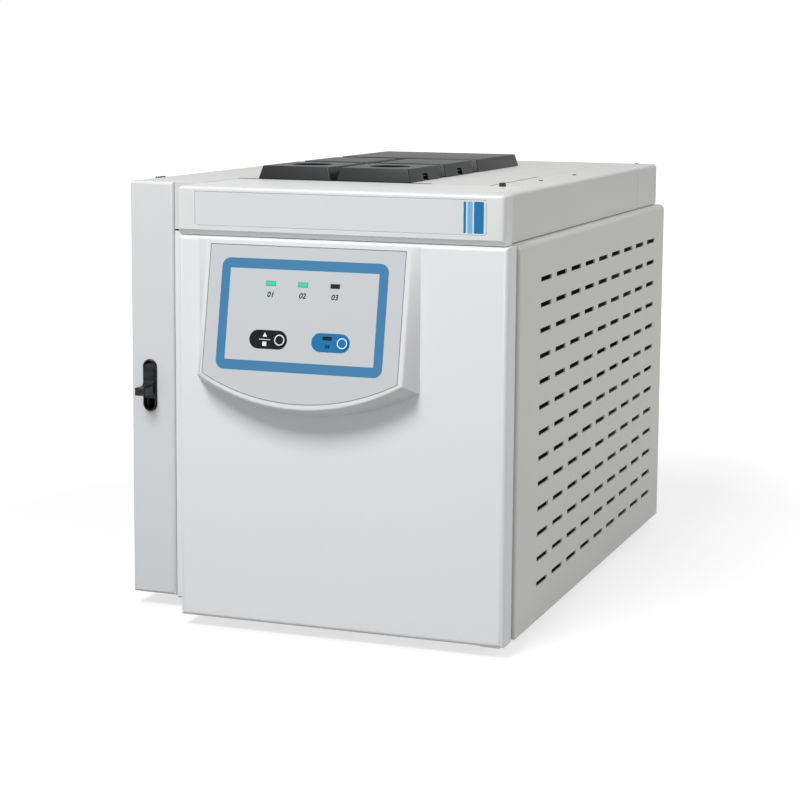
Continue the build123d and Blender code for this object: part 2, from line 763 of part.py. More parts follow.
film_gap = 0.4
with BuildPart() as control_overlay:
    with BuildSketch(panel_plane.offset(-overlay_sheet)):
        film = panel_outline(
            overlay_half - film_gap,
            -overlay_top - film_gap,
            -overlay_corner + film_gap / 2,
            -overlay_lowest + film_gap,
        )
        add(film)
        with Locations(*button_spots):
            Circle(button_radius + sliding_fit, mode=Mode.SUBTRACT)
        with Locations((lens_shift, -lens_drop)):
            with GridLocations(lens_pitch, 1, 3, 1):
                Rectangle(lens_width + 0.2, lens_height + 0.2, mode=Mode.SUBTRACT)
    extrude(amount=overlay_sheet)
save(control_overlay.part, "control_overlay")

with BuildPart() as indicator_lenses:
    with BuildSketch(panel_plane.offset(-overlay_sheet)):
        with Locations((lens_shift, -lens_drop)):
            with GridLocations(lens_pitch, 1, 3, 1):
                Rectangle(lens_width, lens_height)
    extrude(amount=overlay_sheet + lens_rise)
save(indicator_lenses.part, "indicator_lenses")

button_length = panel_wall - 0.2
for name, spot in zip(("start_button", "service_button"), button_spots):
    with BuildPart() as button:
        with BuildSketch(panel_plane.offset(-button_length)):
            with Locations(spot):
                Circle(button_radius)
        extrude(amount=button_length + button_rise)
        crown = button.faces().sort_by(Axis.Y)[0]
        fillet(crown.edges(), radius=0.8)
    save(button.part, name)

# ---- oven ----
port_radius = 13.0
port_spots = [(x, y) for y in module_y for x in module_x]
shaft_hole = 7.0
duct_x = [oven_left + 45.0, oven_right - 35.0]
duct_z = oven_floor + 50.0
with BuildPart() as oven_liner:
    block(
        (oven_left - liner_sheet, oven_right + liner_sheet),
        (frame_y + frame_sheet, oven_back + liner_sheet),
        (oven_floor - liner_sheet, oven_top + liner_sheet),
    )
    block((oven_left, oven_right), (frame_y, oven_back), (oven_floor, oven_top), mode=Mode.SUBTRACT)
    for x, y in port_spots:
        rod_z(x, y, (oven_top - 1, oven_top + 3), port_radius, mode=Mode.SUBTRACT)
    rod_y(oven_centre_x, (oven_back - 1, oven_back + 3), oven_centre_z, shaft_hole, mode=Mode.SUBTRACT)
    for x in duct_x:
        block(
            (x - duct_width / 2, x + duct_width / 2),
            (oven_back - 1, oven_back + 3),
            (duct_z - duct_height / 2, duct_z + duct_height / 2),
            mode=Mode.SUBTRACT,
        )
save(oven_liner.part, "oven_liner")

insulation_left = oven_left - side_insulation
insulation_right = oven_right + side_insulation
with BuildPart() as oven_insulation:
    block(
        (insulation_left, insulation_right),
        (frame_y + frame_sheet, insulation_back),
        (oven_floor - floor_insulation, insulation_top),
    )
    block(
        (oven_left - liner_sheet, oven_right + liner_sheet),
        (frame_y, oven_back + liner_sheet),
        (oven_floor - liner_sheet, oven_top + liner_sheet),
        mode=Mode.SUBTRACT,
    )
    block(
        (insulation_left - 1, insulation_right + 1),
        (frame_y, frame_y + frame_sheet + sheet + 0.5),
        (pan_top - 1, base + pan_rim + 0.5),
        mode=Mode.SUBTRACT,
    )
    for x, y in port_spots:
        rod_z(x, y, (oven_top - 1, insulation_top + 1), port_radius, mode=Mode.SUBTRACT)
    rod_y(oven_centre_x, (oven_back - 1, insulation_back + 1), oven_centre_z, shaft_hole, mode=Mode.SUBTRACT)
    for x in duct_x:
        block(
            (x - duct_width / 2 - duct_sheet, x + duct_width / 2 + duct_sheet),
            (oven_back - 1, insulation_back + 1),
            (duct_z - duct_height / 2 - duct_sheet, duct_z + duct_height / 2 + duct_sheet),
            mode=Mode.SUBTRACT,
        )
save(oven_insulation.part, "oven_insulation")

baffle_y = oven_back - 58.0
baffle_gap = 14.0
baffle_post = 4.0
with BuildPart() as fan_baffle:
    with BuildSketch(Plane.XZ.offset(-baffle_y)):
        with Locations((oven_centre_x, oven_centre_z)):
            RectangleRounded(oven_width - 2 * baffle_gap, oven_height - 2 * baffle_gap, 25.0)
            Circle(45.0, mode=Mode.SUBTRACT)
            with PolarLocations(58.0, 12):
                SlotOverall(16.0, 5.0, mode=Mode.SUBTRACT)
    extrude(amount=-liner_sheet)
    for x in (oven_left + 34.0, oven_right - 34.0):
        for z in (oven_floor + 34.0, oven_top - 34.0):
            if z > oven_centre_z:
                rod_y(x, (baffle_y, oven_back), z, baffle_post)
            else:
                rod_y(x, (baffle_y, oven_back), z - 12.0, baffle_post)
save(fan_baffle.part, "fan_baffle")

with BuildPart() as heater_coil:
    for step in (-7.0, 7.0):
        with Locations((oven_centre_x, fan_y + 4.0 + step, oven_centre_z)):
            Torus(heater_radius, heater_rod, rotation=(90, 0, 0))
save(heater_coil.part, "heater_coil")

blade_depth = 20.0
hub_radius = 14.0
with BuildPart() as oven_fan:
    rod_y(oven_centre_x, (fan_y + blade_depth / 2, fan_y + blade_depth / 2 + 1.5), oven_centre_z, fan_radius)
    rod_y(oven_centre_x, (fan_y - 6.0, fan_y + blade_depth / 2), oven_centre_z, hub_radius)
    with BuildSketch(Plane.XZ.offset(-(fan_y + blade_depth / 2))):
        with Locations((oven_centre_x, oven_centre_z)):
            with PolarLocations(0, fan_blades):
                with Locations(((fan_radius + hub_radius) / 2, 0)):
                    Rectangle(fan_radius - hub_radius - 1.0, 1.5, rotation=6)
    extrude(amount=blade_depth)
    rod_y(oven_centre_x, (fan_y - 30.0, fan_y + 30.0), oven_centre_z, 4.0 + 0.02, mode=Mode.SUBTRACT)
save(oven_fan.part, "oven_fan")

motor_front = insulation_back + sheet
with BuildPart() as fan_shaft:
    rod_y(oven_centre_x, (fan_y - 10.0, motor_front + 20.0), oven_centre_z, 4.0)
save(fan_shaft.part, "fan_shaft")

with BuildPart() as fan_motor:
    with BuildSketch(Plane.XZ.offset(-insulation_back)):
        with Locations((oven_centre_x, oven_centre_z)):
            RectangleRounded(2 * motor_radius + 24.0, 2 * motor_radius + 24.0, 8.0)
    extrude(amount=-sheet)
    rod_y(oven_centre_x, (motor_front, motor_front + motor_length), oven_centre_z, motor_radius)
    fillet(fan_motor.faces().sort_by(Axis.Y)[-1].edges(), radius=4.0)
    motor_bore = 4.0 + running_fit
    bore_y = (insulation_back - 1, motor_front + 22.0)
    rod_y(oven_centre_x, bore_y, oven_centre_z, motor_bore, mode=Mode.SUBTRACT)
save(fan_motor.part, "fan_motor")

with BuildPart() as temperature_probe:
    probe_x = oven_right - 30.0
    probe_z = oven_centre_z + 60.0
    rod_y(probe_x, (baffle_y - 45.0, baffle_y - 3.0), probe_z, 1.6)
    block((probe_x - 5, probe_x + 5), (baffle_y - 3.0, baffle_y), (probe_z - 8, probe_z + 8))
save(temperature_probe.part, "temperature_probe")

# ---- column, its cage and the hanger ----
cage_radius = 85.0
cage_y = oven_mid_y + 30.0
cage_z = oven_centre_z - 8.0
cage_depth = 26.0
with BuildPart() as column_cage:
    for y in (cage_y - cage_depth / 2, cage_y + cage_depth / 2 - 2.0):
        with BuildSketch(Plane.XZ.offset(-y - 2.0)):
            with Locations((oven_centre_x, cage_z)):
                Circle(cage_radius - 1.0)
                Circle(cage_radius - 5.0, mode=Mode.SUBTRACT)
        extrude(amount=2.0)
    for turn in range(8):
        angle = radians(22.5 + 45.0 * turn)
        rod_y(
            oven_centre_x + (cage_radius - 3.0) * cos(angle),
            (cage_y - cage_depth / 2, cage_y + cage_depth / 2),
            cage_z + (cage_radius - 3.0) * sin(angle),
            1.6,
        )
save(column_cage.part, "column_cage")

with BuildPart() as capillary_column:
    with BuildSketch(Plane.XZ.offset(-cage_y - 8.0)):
        with Locations((oven_centre_x, cage_z)):
            Circle(cage_radius + 3.5)
            Circle(cage_radius, mode=Mode.SUBTRACT)
    extrude(amount=16.0)
save(capillary_column.part, "capillary_column")

hanger_y = (cage_y - cage_depth / 2 - 8.0, cage_y + cage_depth / 2 + 8.0)
with BuildPart() as column_hanger:
    ring_top = cage_z + cage_radius - 5.0
    block((oven_centre_x - 1.5, oven_centre_x + 1.5), hanger_y, (ring_top - 4.0, ring_top - 0.4))
    for y in hanger_y:
        block((oven_centre_x - 1.5, oven_centre_x + 1.5), (y - 3.0, y), (ring_top - 4.0, oven_top))
save(column_hanger.part, "column_hanger")

# ---- injectors and detectors under their hinged caps ----
plate_top = top - sheet - 0.4
plate_bottom = plate_top - 4.0
port_tube = 8.0
nut_z = oven_top - 26.0
for name, (x, y) in zip(("injector_left", "injector_right", "detector_left", "detector_right"), port_spots):
    with BuildPart() as unit:
        block(
            (x - module_width / 2 + 1.0, x + module_width / 2 - 1.0),
            (y - module_depth / 2 + 2.0, y + module_depth / 2 - 2.0),
            (plate_bottom, plate_top),
        )
        block((x - 30.0, x + 30.0), (y - 36.0, y + 36.0), (insulation_top, plate_bottom))
        fillet(unit.edges().filter_by(Axis.Z).filter_by(lambda e: e.length > 20.0), radius=5.0)
        rod_z(x, y, (nut_z, insulation_top), port_tube)
        rod_z(x, y, (nut_z - 10.0, nut_z), 5.0)
        if name.startswith("injector"):
            rod_z(x, y, (plate_top, top + 8.0), 12.0)
            rod_z(x, y, (top - 20.0, top + 9.0), 1.0, mode=Mode.SUBTRACT)
        else:
            rod_z(x, y, (plate_top, top + 4.0), 17.0)
            rod_z(x, y, (plate_top, top + 10.0), 8.0)
            rod_z(x, y, (top - 30.0, top + 11.0), 3.0, mode=Mode.SUBTRACT)
    save(unit.part, name)


def cap_shell(x, y, depth):
    """A tapered cap, open below, standing just above the top cover."""
    with BuildPart() as cap:
        with BuildSketch(Plane.XY.offset(cap_base)):
            with Locations((x, y)):
                Rectangle(module_width, depth)
        extrude(amount=cap_height, taper=cap_taper)
        fillet(cap.edges().filter_by(lambda e: abs((e @ 0).Z - (e @ 1).Z) > 5.0), radius=1.5)
        fillet(cap.faces().sort_by(Axis.Z)[-1].edges(), radius=0.8)
        offset(amount=-cap_wall, openings=cap.faces().sort_by(Axis.Z)[0])
    return cap.part


hinge_pin_z = cap_base + cap_hinge_rise
knuckle_radius = 3.4
notch_width = 15.0
notch_height = 7.5
cap_names = ("cap_injector_left", "cap_injector_right", "cap_detector_left", "cap_detector_right")
for name, (x, y) in zip(cap_names, port_spots):
    blank = cap_shell(x, y, module_depth)
    cap_rear = y + module_depth / 2
    pin_y = cap_rear - cap_hinge_inset
    with BuildPart() as cap:
        add(blank)
        block(
            (x - module_width / 2 - 1, x + module_width / 2 + 1),
            (pin_y + 0.5, cap_rear + 1),
            (cap_base - 1, cap_base + 9.0),
            mode=Mode.SUBTRACT,
        )
        if name.startswith("cap_injector"):
            rod_z(x, y, (top + cap_height - 7.0, cap_base + cap_height), cap_window_radius + cap_wall)
            rod_z(x, y, (top, top + cap_height + 2), cap_window_radius, mode=Mode.SUBTRACT)
        for side in (-1, 1):
            knuckle = sorted((x + side * 18.0, x + side * 28.0))
            rod_x(knuckle, pin_y, hinge_pin_z, knuckle_radius)
            block(knuckle, (pin_y - 2.0, pin_y + 2.0), (hinge_pin_z, cap_base + cap_height - cap_wall))
        rod_x((x - 36.0, x + 36.0), pin_y, hinge_pin_z, cap_hinge_radius + running_fit, mode=Mode.SUBTRACT)
        block(
            (x + module_width / 2 - 12.0, x + module_width / 2 + 1),
            (y - notch_width / 2, y + notch_width / 2),
            (cap_base - 1, cap_base + notch_height),
            mode=Mode.SUBTRACT,
        )
    save(cap.part, name)

with BuildPart() as cap_hinge_pins:
    for x, y in port_spots:
        pin_y = y + module_depth / 2 - cap_hinge_inset
        rod_x((x - 33.0, x + 33.0), pin_y, hinge_pin_z, cap_hinge_radius)
        for side in (-1, 1):
            ear = sorted((x + side * 29.5, x + side * 32.0))
            block(ear, (pin_y - 1.8, pin_y + 1.8), (plate_top, hinge_pin_z + 2.0))
save(cap_hinge_pins.part, "cap_hinge_pins")

middle_x = (module_x[0] + module_x[1]) / 2
rear_cap_gap = 0.5  # each rear cap's side face to the middle line
for name, side in (("rear_cap_left", -1), ("rear_cap_right", 1)):
    outer_x = middle_x + side * (module_gap_x / 2 + module_width)
    with BuildPart() as cap:
        with BuildSketch(Plane.XY.offset(cap_base)):
            with Locations((outer_x - side * module_width, rear_cap_y)):
                Rectangle(2 * module_width, rear_cap_depth)
        extrude(amount=cap_height, taper=cap_taper)
        fillet(cap.edges().filter_by(lambda e: abs((e @ 0).Z - (e @ 1).Z) > 5.0), radius=1.5)
        fillet(cap.faces().sort_by(Axis.Z)[-1].edges(), radius=0.8)
        with BuildSketch(Plane.XY.offset(cap_base)):
            with Locations((outer_x - side * module_width, rear_cap_y)):
                Rectangle(2 * (module_width - cap_wall), rear_cap_depth - 2 * cap_wall)
        extrude(amount=cap_height - cap_wall, taper=cap_taper, mode=Mode.SUBTRACT)
        seam_face = Plane.YZ.offset(middle_x + side * rear_cap_gap)
        split(bisect_by=seam_face, keep=Keep.TOP if side > 0 else Keep.BOTTOM)
        block(
            sorted((middle_x + side * rear_cap_gap, middle_x + side * (rear_cap_gap + cap_wall))),
            (rear_cap_y - rear_cap_depth / 2 + 6.0, rear_cap_y + rear_cap_depth / 2 - 6.0),
            (cap_base, cap_base + cap_height - 1.0),
        )
        for y in (rear_cap_y - 50.0, rear_cap_y + 50.0):
            rod_z(outer_x - side * module_width / 2, y, (top - 5.0, cap_base + cap_height - 1.0), 4.0)
    save(cap.part, name)

# ---- services behind and beside the oven ----
manifold_x = (left + 32.0, left + 72.0)
with BuildPart() as gas_manifold:
    block(manifold_x, (rear - 190.0, rear - 60.0), (base + 300.0, base + 345.0))
    fillet(gas_manifold.edges().filter_by(Axis.Y), radius=2.0)
    manifold_middle = (manifold_x[0] + manifold_x[1]) / 2
    for step in range(4):
        rod_z(manifold_middle, rear - 175.0 + 33.0 * step, (base + 345.0, base + 372.0), 11.0)
    block(
        (manifold_x[0] - 14.0, manifold_x[0]),
        (rear - 190.0, rear - 60.0),
        (pan_top, base + 345.0),
    )
save(gas_manifold.part, "gas_manifold")

with BuildPart() as main_board:
    board_x = left + 24.0
    block((board_x, board_x + 1.6), (front + 130.0, rear - 200.0), (pan_top, base + 340.0))
    for y, z, wide, tall, proud in (
        (front + 180.0, base + 260.0, 40.0, 40.0, 8.0),
        (front + 260.0, base + 200.0, 30.0, 60.0, 22.0),
        (front + 330.0, base + 280.0, 26.0, 26.0, 4.0),
        (front + 380.0, base + 120.0, 60.0, 20.0, 12.0),
        (front + 220.0, base + 90.0, 50.0, 16.0, 12.0),
    ):
        stands = (board_x + 1.6, board_x + 1.6 + proud)
        block(stands, (y - wide / 2, y + wide / 2), (z - tall / 2, z + tall / 2))
save(main_board.part, "main_board")

with BuildPart() as power_supply:
    block((oven_left - 5.0, oven_left + 130.0), (rear - 170.0, rear - 40.0), (pan_top, base + 68.0))
    fillet(power_supply.edges().filter_by(Axis.Z), radius=2.0)
    with BuildSketch(Plane.XY.offset(base + 68.0)):
        with Locations((oven_left + 62.5, rear - 105.0)):
            with GridLocations(22.0, 14.0, 5, 7):
                SlotOverall(14.0, 4.0)
    extrude(amount=-2.0, mode=Mode.SUBTRACT)
save(power_supply.part, "power_supply")

duct_inner = (duct_z - duct_height / 2, duct_z + duct_height / 2)
duct_start = oven_back + liner_sheet
with BuildPart() as oven_air_ducts:
    for x, end in ((duct_x[0], insulation_back + 50.0), (duct_x[1], rear - sheet)):
        block(
            (x - duct_width / 2 - duct_sheet, x + duct_width / 2 + duct_sheet),
            (duct_start, end),
            (duct_inner[0] - duct_sheet, duct_inner[1] + duct_sheet),
        )
        duct_bore_x = (x - duct_width / 2, x + duct_width / 2)
        block(duct_bore_x, (duct_start - 1, end + 1), duct_inner, mode=Mode.SUBTRACT)
        rod_x(
            (x - duct_width, x + duct_width),
            insulation_back + 25.0,
            duct_z,
            2.0 + running_fit,
            mode=Mode.SUBTRACT,
        )
save(oven_air_ducts.part, "oven_air_ducts")

flap_y = insulation_back + 25.0
flap_gap = 1.6
with BuildPart() as air_flaps:
    for x in duct_x:
        block(
            (x - duct_width / 2 + flap_gap, x + duct_width / 2 - flap_gap),
            (flap_y - 0.75, flap_y + 0.75),
            (duct_inner[0] + flap_gap, duct_inner[1] - flap_gap),
        )
    rod_x((duct_x[0] - duct_width / 2 - 12.0, duct_x[1] + duct_width / 2 + 6.0), flap_y, duct_z, 2.0)
    block(
        (duct_x[0] - duct_width / 2 - 11.0, duct_x[0] - duct_width / 2 - 7.0),
        (flap_y - 4.0, flap_y + 4.0),
        (duct_z - 4.0, duct_z + 22.0),
    )
save(air_flaps.part, "air_flaps")

# ---- rear panel and what it carries ----
fan_centre = (left + 100.0, base + 115.0)
inlet_centre = (right - 65.0, base + 195.0)
fitting_z = base + 360.0
fitting_x = [left + 60.0 + 34.0 * step for step in range(5)]
with BuildPart() as rear_panel:
    block(
        (left + flange + seam / 2, right - flange - seam / 2),
        (rear - sheet, rear),
        (base, panel_line),
    )
    with BuildSketch(Plane.XZ.offset(-rear)):
        with Locations(fan_centre):
            for ring in (44.0, 31.0, 18.0):
                Circle(ring + 8.0)
                Circle(ring, mode=Mode.SUBTRACT)
            for turn in (45.0, 135.0):
                Rectangle(2 * cooling_fan_radius, 6.0, rotation=turn, mode=Mode.SUBTRACT)
    extrude(amount=sheet, mode=Mode.SUBTRACT)
    block(
        (inlet_centre[0] - 24.0, inlet_centre[0] + 24.0),
        (rear - 3, rear + 1),
        (inlet_centre[1] - 14.0, inlet_centre[1] + 34.0),
        mode=Mode.SUBTRACT,
    )
    block(
        (duct_x[1] - duct_width / 2, duct_x[1] + duct_width / 2),
        (rear - 3, rear + 1),
        duct_inner,
        mode=Mode.SUBTRACT,
    )
    for x in fitting_x:
        rod_y(x, (rear - 3, rear + 1), fitting_z, 5.2, mode=Mode.SUBTRACT)
save(rear_panel.part, "rear_panel")

with BuildPart() as cooling_fan_frame:
    half = cooling_fan_size / 2
    fan_front = rear - sheet - cooling_fan_depth
    block(
        (fan_centre[0] - half, fan_centre[0] + half),
        (fan_front, rear - sheet),
        (fan_centre[1] - half, fan_centre[1] + half),
    )
    fillet(cooling_fan_frame.edges().filter_by(Axis.Y), radius=6.0)
    rod_y(fan_centre[0], (fan_front - 1, rear), fan_centre[1], cooling_fan_radius + 2.0, mode=Mode.SUBTRACT)
    rod_y(fan_centre[0], (fan_front, fan_front + 3.0), fan_centre[1], 20.0)
    for turn in range(4):
        with Locations((fan_centre[0], fan_front + 1.5, fan_centre[1])):
            Box(2 * cooling_fan_radius + 6.0, 3.0, 4.0, rotation=(0, 45.0 * turn + 22.5, 0))
    rod_y(fan_centre[0], (fan_front, fan_front + 12.0), fan_centre[1], 3.0)
save(cooling_fan_frame.part, "cooling_fan_frame")

with BuildPart() as cooling_fan_rotor:
    rotor_y = (fan_front + 4.0, fan_front + 23.0)
    rod_y(fan_centre[0], rotor_y, fan_centre[1], 20.0)
    for turn in range(7):
        angle = 360.0 / 7 * turn
        with Locations((fan_centre[0], fan_front + 13.0, fan_centre[1])):
            with Locations(Location((0, 0, 0), (0, angle, 0))):
                with Locations((36.0, 0, 0)):
                    Box(36.0, 2.0, 20.0, rotation=(35, 0, 0))
    rod_y(fan_centre[0], (fan_front, fan_front + 13.0), fan_centre[1], 3.0 + running_fit, mode=Mode.SUBTRACT)
save(cooling_fan_rotor.part, "cooling_fan_rotor")

rocker_z = inlet_centre[1] + 22.0
with BuildPart() as power_inlet:
    block(
        (inlet_centre[0] - 28.0, inlet_centre[0] + 28.0),
        (rear, rear + 2.5),
        (inlet_centre[1] - 18.0, inlet_centre[1] + 38.0),
    )
    fillet(power_inlet.edges().filter_by(Axis.Y), radius=3.0)
    block(
        (inlet_centre[0] - 23.5, inlet_centre[0] + 23.5),
        (rear - 24.0, rear),
        (inlet_centre[1] - 13.5, inlet_centre[1] + 33.5),
    )
    block(
        (inlet_centre[0] - 12.3, inlet_centre[0] + 12.3),
        (rear - 15.0, rear + 3),
        (inlet_centre[1] - 8.5, inlet_centre[1] + 8.5),
        mode=Mode.SUBTRACT,
    )
    block(
        (inlet_centre[0] - 10.5, inlet_centre[0] + 10.5),
        (rear - 12.0, rear + 3),
        (rocker_z - 7.0, rocker_z + 7.0),
        mode=Mode.SUBTRACT,
    )
    for x, z in ((-7.0, 2.5), (0.0, -2.5), (7.0, 2.5)):
        block(
            (inlet_centre[0] + x - 1.0, inlet_centre[0] + x + 1.0),
            (rear - 15.0, rear - 1.0),
            (inlet_centre[1] + z - 2.0, inlet_centre[1] + z + 2.0),
        )
save(power_inlet.part, "power_inlet")

rocker_tilt = radians(9.0)
rocker_plane = Plane(
    origin=(inlet_centre[0], rear, rocker_z - 6.4),
    x_dir=(cos(rocker_tilt), -sin(rocker_tilt), 0),
    z_dir=(0, 0, 1),
)
with BuildPart() as power_rocker:
    with BuildSketch(rocker_plane):
        with BuildLine():
            Polyline((-9.0, 4.5), (-7.5, -3.0), (0, -6.0), (7.5, -3.0), (9.0, 4.5))
            ThreePointArc((9.0, 4.5), (0, 2.4), (-9.0, 4.5))
        make_face()
    extrude(amount=12.8)
save(power_rocker.part, "power_rocker")

fitting_reach = 21.0
with BuildPart() as gas_fittings:
    for x in fitting_x:
        rod_y(x, (rear - 16.0, rear + fitting_reach - 5.0), fitting_z, 4.8)
        with BuildSketch(Plane.XZ.offset(-rear)):
            with Locations((x, fitting_z)):
                RegularPolygon(8.0, 6)
        extrude(amount=-6.0)
        with BuildSketch(Plane.XZ.offset(-(rear + fitting_reach - 10.0))):
            with Locations((x, fitting_z)):
                RegularPolygon(7.0, 6)
        extrude(amount=-10.0)
        rod_y(x, (rear + 4, rear + fitting_reach + 1), fitting_z, 1.65, mode=Mode.SUBTRACT)
save(gas_fittings.part, "gas_fittings")

hood_half = duct_width / 2 + 12.0
hood_top = duct_inner[1] + 14.0
hood_bottom = duct_inner[0] - 14.0
with BuildPart() as exhaust_hood:
    with BuildSketch(Plane.YZ.offset(duct_x[1] - hood_half)):
        with BuildLine():
            Polyline(
                (rear, hood_top),
                (rear + 6.0, hood_top),
                (rear + hood_reach, hood_top - 22.0),
                (rear + hood_reach, hood_bottom),
                (rear, hood_bottom),
                close=True,
            )
        make_face()
    extrude(amount=2 * hood_half)
    bottom_face = exhaust_hood.faces().sort_by(Axis.Z)[0]
    back_face = exhaust_hood.faces().sort_by(Axis.Y)[0]
    offset(amount=-sheet, openings=[bottom_face, back_face])
save(exhaust_hood.part, "exhaust_hood")
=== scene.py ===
import json
import math

import bmesh
import bpy
from bpy.props import FloatProperty, FloatVectorProperty, IntProperty, PointerProperty
from mathutils import Matrix, Vector


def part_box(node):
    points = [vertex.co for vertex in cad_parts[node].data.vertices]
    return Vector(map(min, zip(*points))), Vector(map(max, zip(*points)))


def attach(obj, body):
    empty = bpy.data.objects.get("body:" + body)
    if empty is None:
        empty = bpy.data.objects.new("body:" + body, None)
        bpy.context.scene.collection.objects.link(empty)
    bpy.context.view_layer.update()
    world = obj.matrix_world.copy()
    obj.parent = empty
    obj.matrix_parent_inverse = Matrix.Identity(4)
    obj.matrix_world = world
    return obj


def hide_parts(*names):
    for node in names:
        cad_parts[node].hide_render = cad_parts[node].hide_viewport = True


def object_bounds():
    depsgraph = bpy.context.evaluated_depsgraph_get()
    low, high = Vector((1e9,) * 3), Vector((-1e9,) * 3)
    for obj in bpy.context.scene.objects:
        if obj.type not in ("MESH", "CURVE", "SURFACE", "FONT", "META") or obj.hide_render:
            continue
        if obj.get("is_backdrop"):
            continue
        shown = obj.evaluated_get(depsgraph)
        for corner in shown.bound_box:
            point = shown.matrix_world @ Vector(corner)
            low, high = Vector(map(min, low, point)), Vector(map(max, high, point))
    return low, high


bl_info = {
    "name": "Gas Chromatograph",
    "version": (1, 0, 0),
    "blender": (4, 5, 0),
    "location": "3D View > Sidebar > Instrument",
    "description": "Finishes, printed artwork and small hardware for a bench gas chromatograph",
    "category": "Object",
}

MM = 0.001
ALONG_X, ALONG_Y, ALONG_Z = 0, 1, 2

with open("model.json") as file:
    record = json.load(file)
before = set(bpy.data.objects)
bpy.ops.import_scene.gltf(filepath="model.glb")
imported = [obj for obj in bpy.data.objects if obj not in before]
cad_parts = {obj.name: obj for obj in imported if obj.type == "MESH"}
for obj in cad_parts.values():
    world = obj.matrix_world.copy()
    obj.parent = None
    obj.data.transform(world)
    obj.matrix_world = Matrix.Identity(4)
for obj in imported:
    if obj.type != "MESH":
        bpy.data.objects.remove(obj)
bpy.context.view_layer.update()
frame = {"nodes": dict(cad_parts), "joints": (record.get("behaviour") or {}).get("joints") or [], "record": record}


def linear(code):
    """Linear RGBA from an sRGB hex value."""
    channels = [int(code[i : i + 2], 16) / 255 for i in (0, 2, 4)]
    return (*[c / 12.92 if c <= 0.04045 else ((c + 0.055) / 1.055) ** 2.4 for c in channels], 1.0)


def colour(label, description, code):
    """A colour setting with its default as an sRGB hex value."""
    return FloatVectorProperty(
        name=label, description=description, default=linear(code), size=4, min=0, max=1, subtype="COLOR"
    )


def length(label, description, millimetres):
    """A length setting with its default in millimetres."""
    size = millimetres * MM
    return FloatProperty(
        name=label, description=description, default=size, min=0, unit="LENGTH", subtype="DISTANCE"
    )


# ---- materials ----
def add_node(material, kind, links=(), **settings):
    """Adds a node, sets its properties, and links or sets its inputs."""
    node = material.node_tree.nodes.new(kind)
    for name, value in settings.items():
        setattr(node, name, value)
    for name, value in links:
        if isinstance(value, bpy.types.NodeSocket):
            material.node_tree.links.new(value, node.inputs[name])
        else:
            node.inputs[name].default_value = value
    return node


def surface(name, base, roughness, metallic=0.0, **inputs):
    """A new material with a principled shader, and its Object coordinates."""
    material = bpy.data.materials.new(name)
    material.use_nodes = True
    shader = material.node_tree.nodes["Principled BSDF"]
    shader.inputs["Base Color"].default_value = base
    shader.inputs["Roughness"].default_value = roughness
    shader.inputs["Metallic"].default_value = metallic
    for socket, value in inputs.items():
        shader.inputs[socket.replace("_", " ")].default_value = value
    place = add_node(material, "ShaderNodeTexCoord").outputs["Object"]
    return material, shader, place


def wire(material, source, shader, socket):
    """Links a pattern to a socket of the shader."""
    material.node_tree.links.new(source, shader.inputs[socket])


def grained(name, base, roughness, grain, depth, tone, metallic=0.0, specular=0.5):
    """A surface with a fine all-over grain and a slow drift of tone and gloss."""
    material, shader, place = surface(name, base, roughness, metallic, Specular_IOR_Level=specular)
    fine = add_node(
        material,
        "ShaderNodeTexNoise",
        [("Vector", place), ("Scale", 1 / grain), ("Detail", 2.0), ("Roughness", 0.6)],
    )
    drift = add_node(material, "ShaderNodeTexNoise", [("Vector", place), ("Scale", 6.0), ("Detail", 3.0)])
    darker = tuple(c * (1 - tone) for c in base[:3]) + (1.0,)
    lighter = tuple(min(1.0, c * (1 + tone)) for c in base[:3]) + (1.0,)
    blend = add_node(material, "ShaderNodeMix", [("Factor", drift.outputs["Fac"])], data_type="RGBA")
    blend.inputs["A"].default_value = darker
    blend.inputs["B"].default_value = lighter
    wire(material, blend.outputs["Result"], shader, "Base Color")
    gloss = add_node(
        material,
        "ShaderNodeMapRange",
        [("Value", fine.outputs["Fac"]), ("To Min", roughness - 0.05), ("To Max", roughness + 0.06)],
    )
    wire(material, gloss.outputs["Result"], shader, "Roughness")
    bump = add_node(
        material, "ShaderNodeBump", [("Height", fine.outputs["Fac"]), ("Strength", 0.35), ("Distance", depth)]
    )
    wire(material, bump.outputs["Normal"], shader, "Normal")
    return material


def brushed(name, base, roughness, along, pitch):
    """Rolled or turned metal: long thin lines along one axis, a pitch apart."""
    material, shader, place = surface(name, base, roughness, 1.0)
    stretch = [1 / pitch] * 3
    stretch[along] = 1 / (60 * pitch)
    scaled = add_node(material, "ShaderNodeMapping", [("Vector", place), ("Scale", stretch)])
    lines = add_node(
        material,
        "ShaderNodeTexNoise",
        [("Vector", scaled.outputs["Vector"]), ("Scale", 1.0), ("Detail", 3.0)],
    )
    gloss = add_node(
        material,
        "ShaderNodeMapRange",
        [("Value", lines.outputs["Fac"]), ("To Min", roughness - 0.1), ("To Max", roughness + 0.14)],
    )
    wire(material, gloss.outputs["Result"], shader, "Roughness")
    bump = add_node(
        material,
        "ShaderNodeBump",
        [("Height", lines.outputs["Fac"]), ("Strength", 0.2), ("Distance", 0.05 * MM)],
    )
    wire(material, bump.outputs["Normal"], shader, "Normal")
    return material


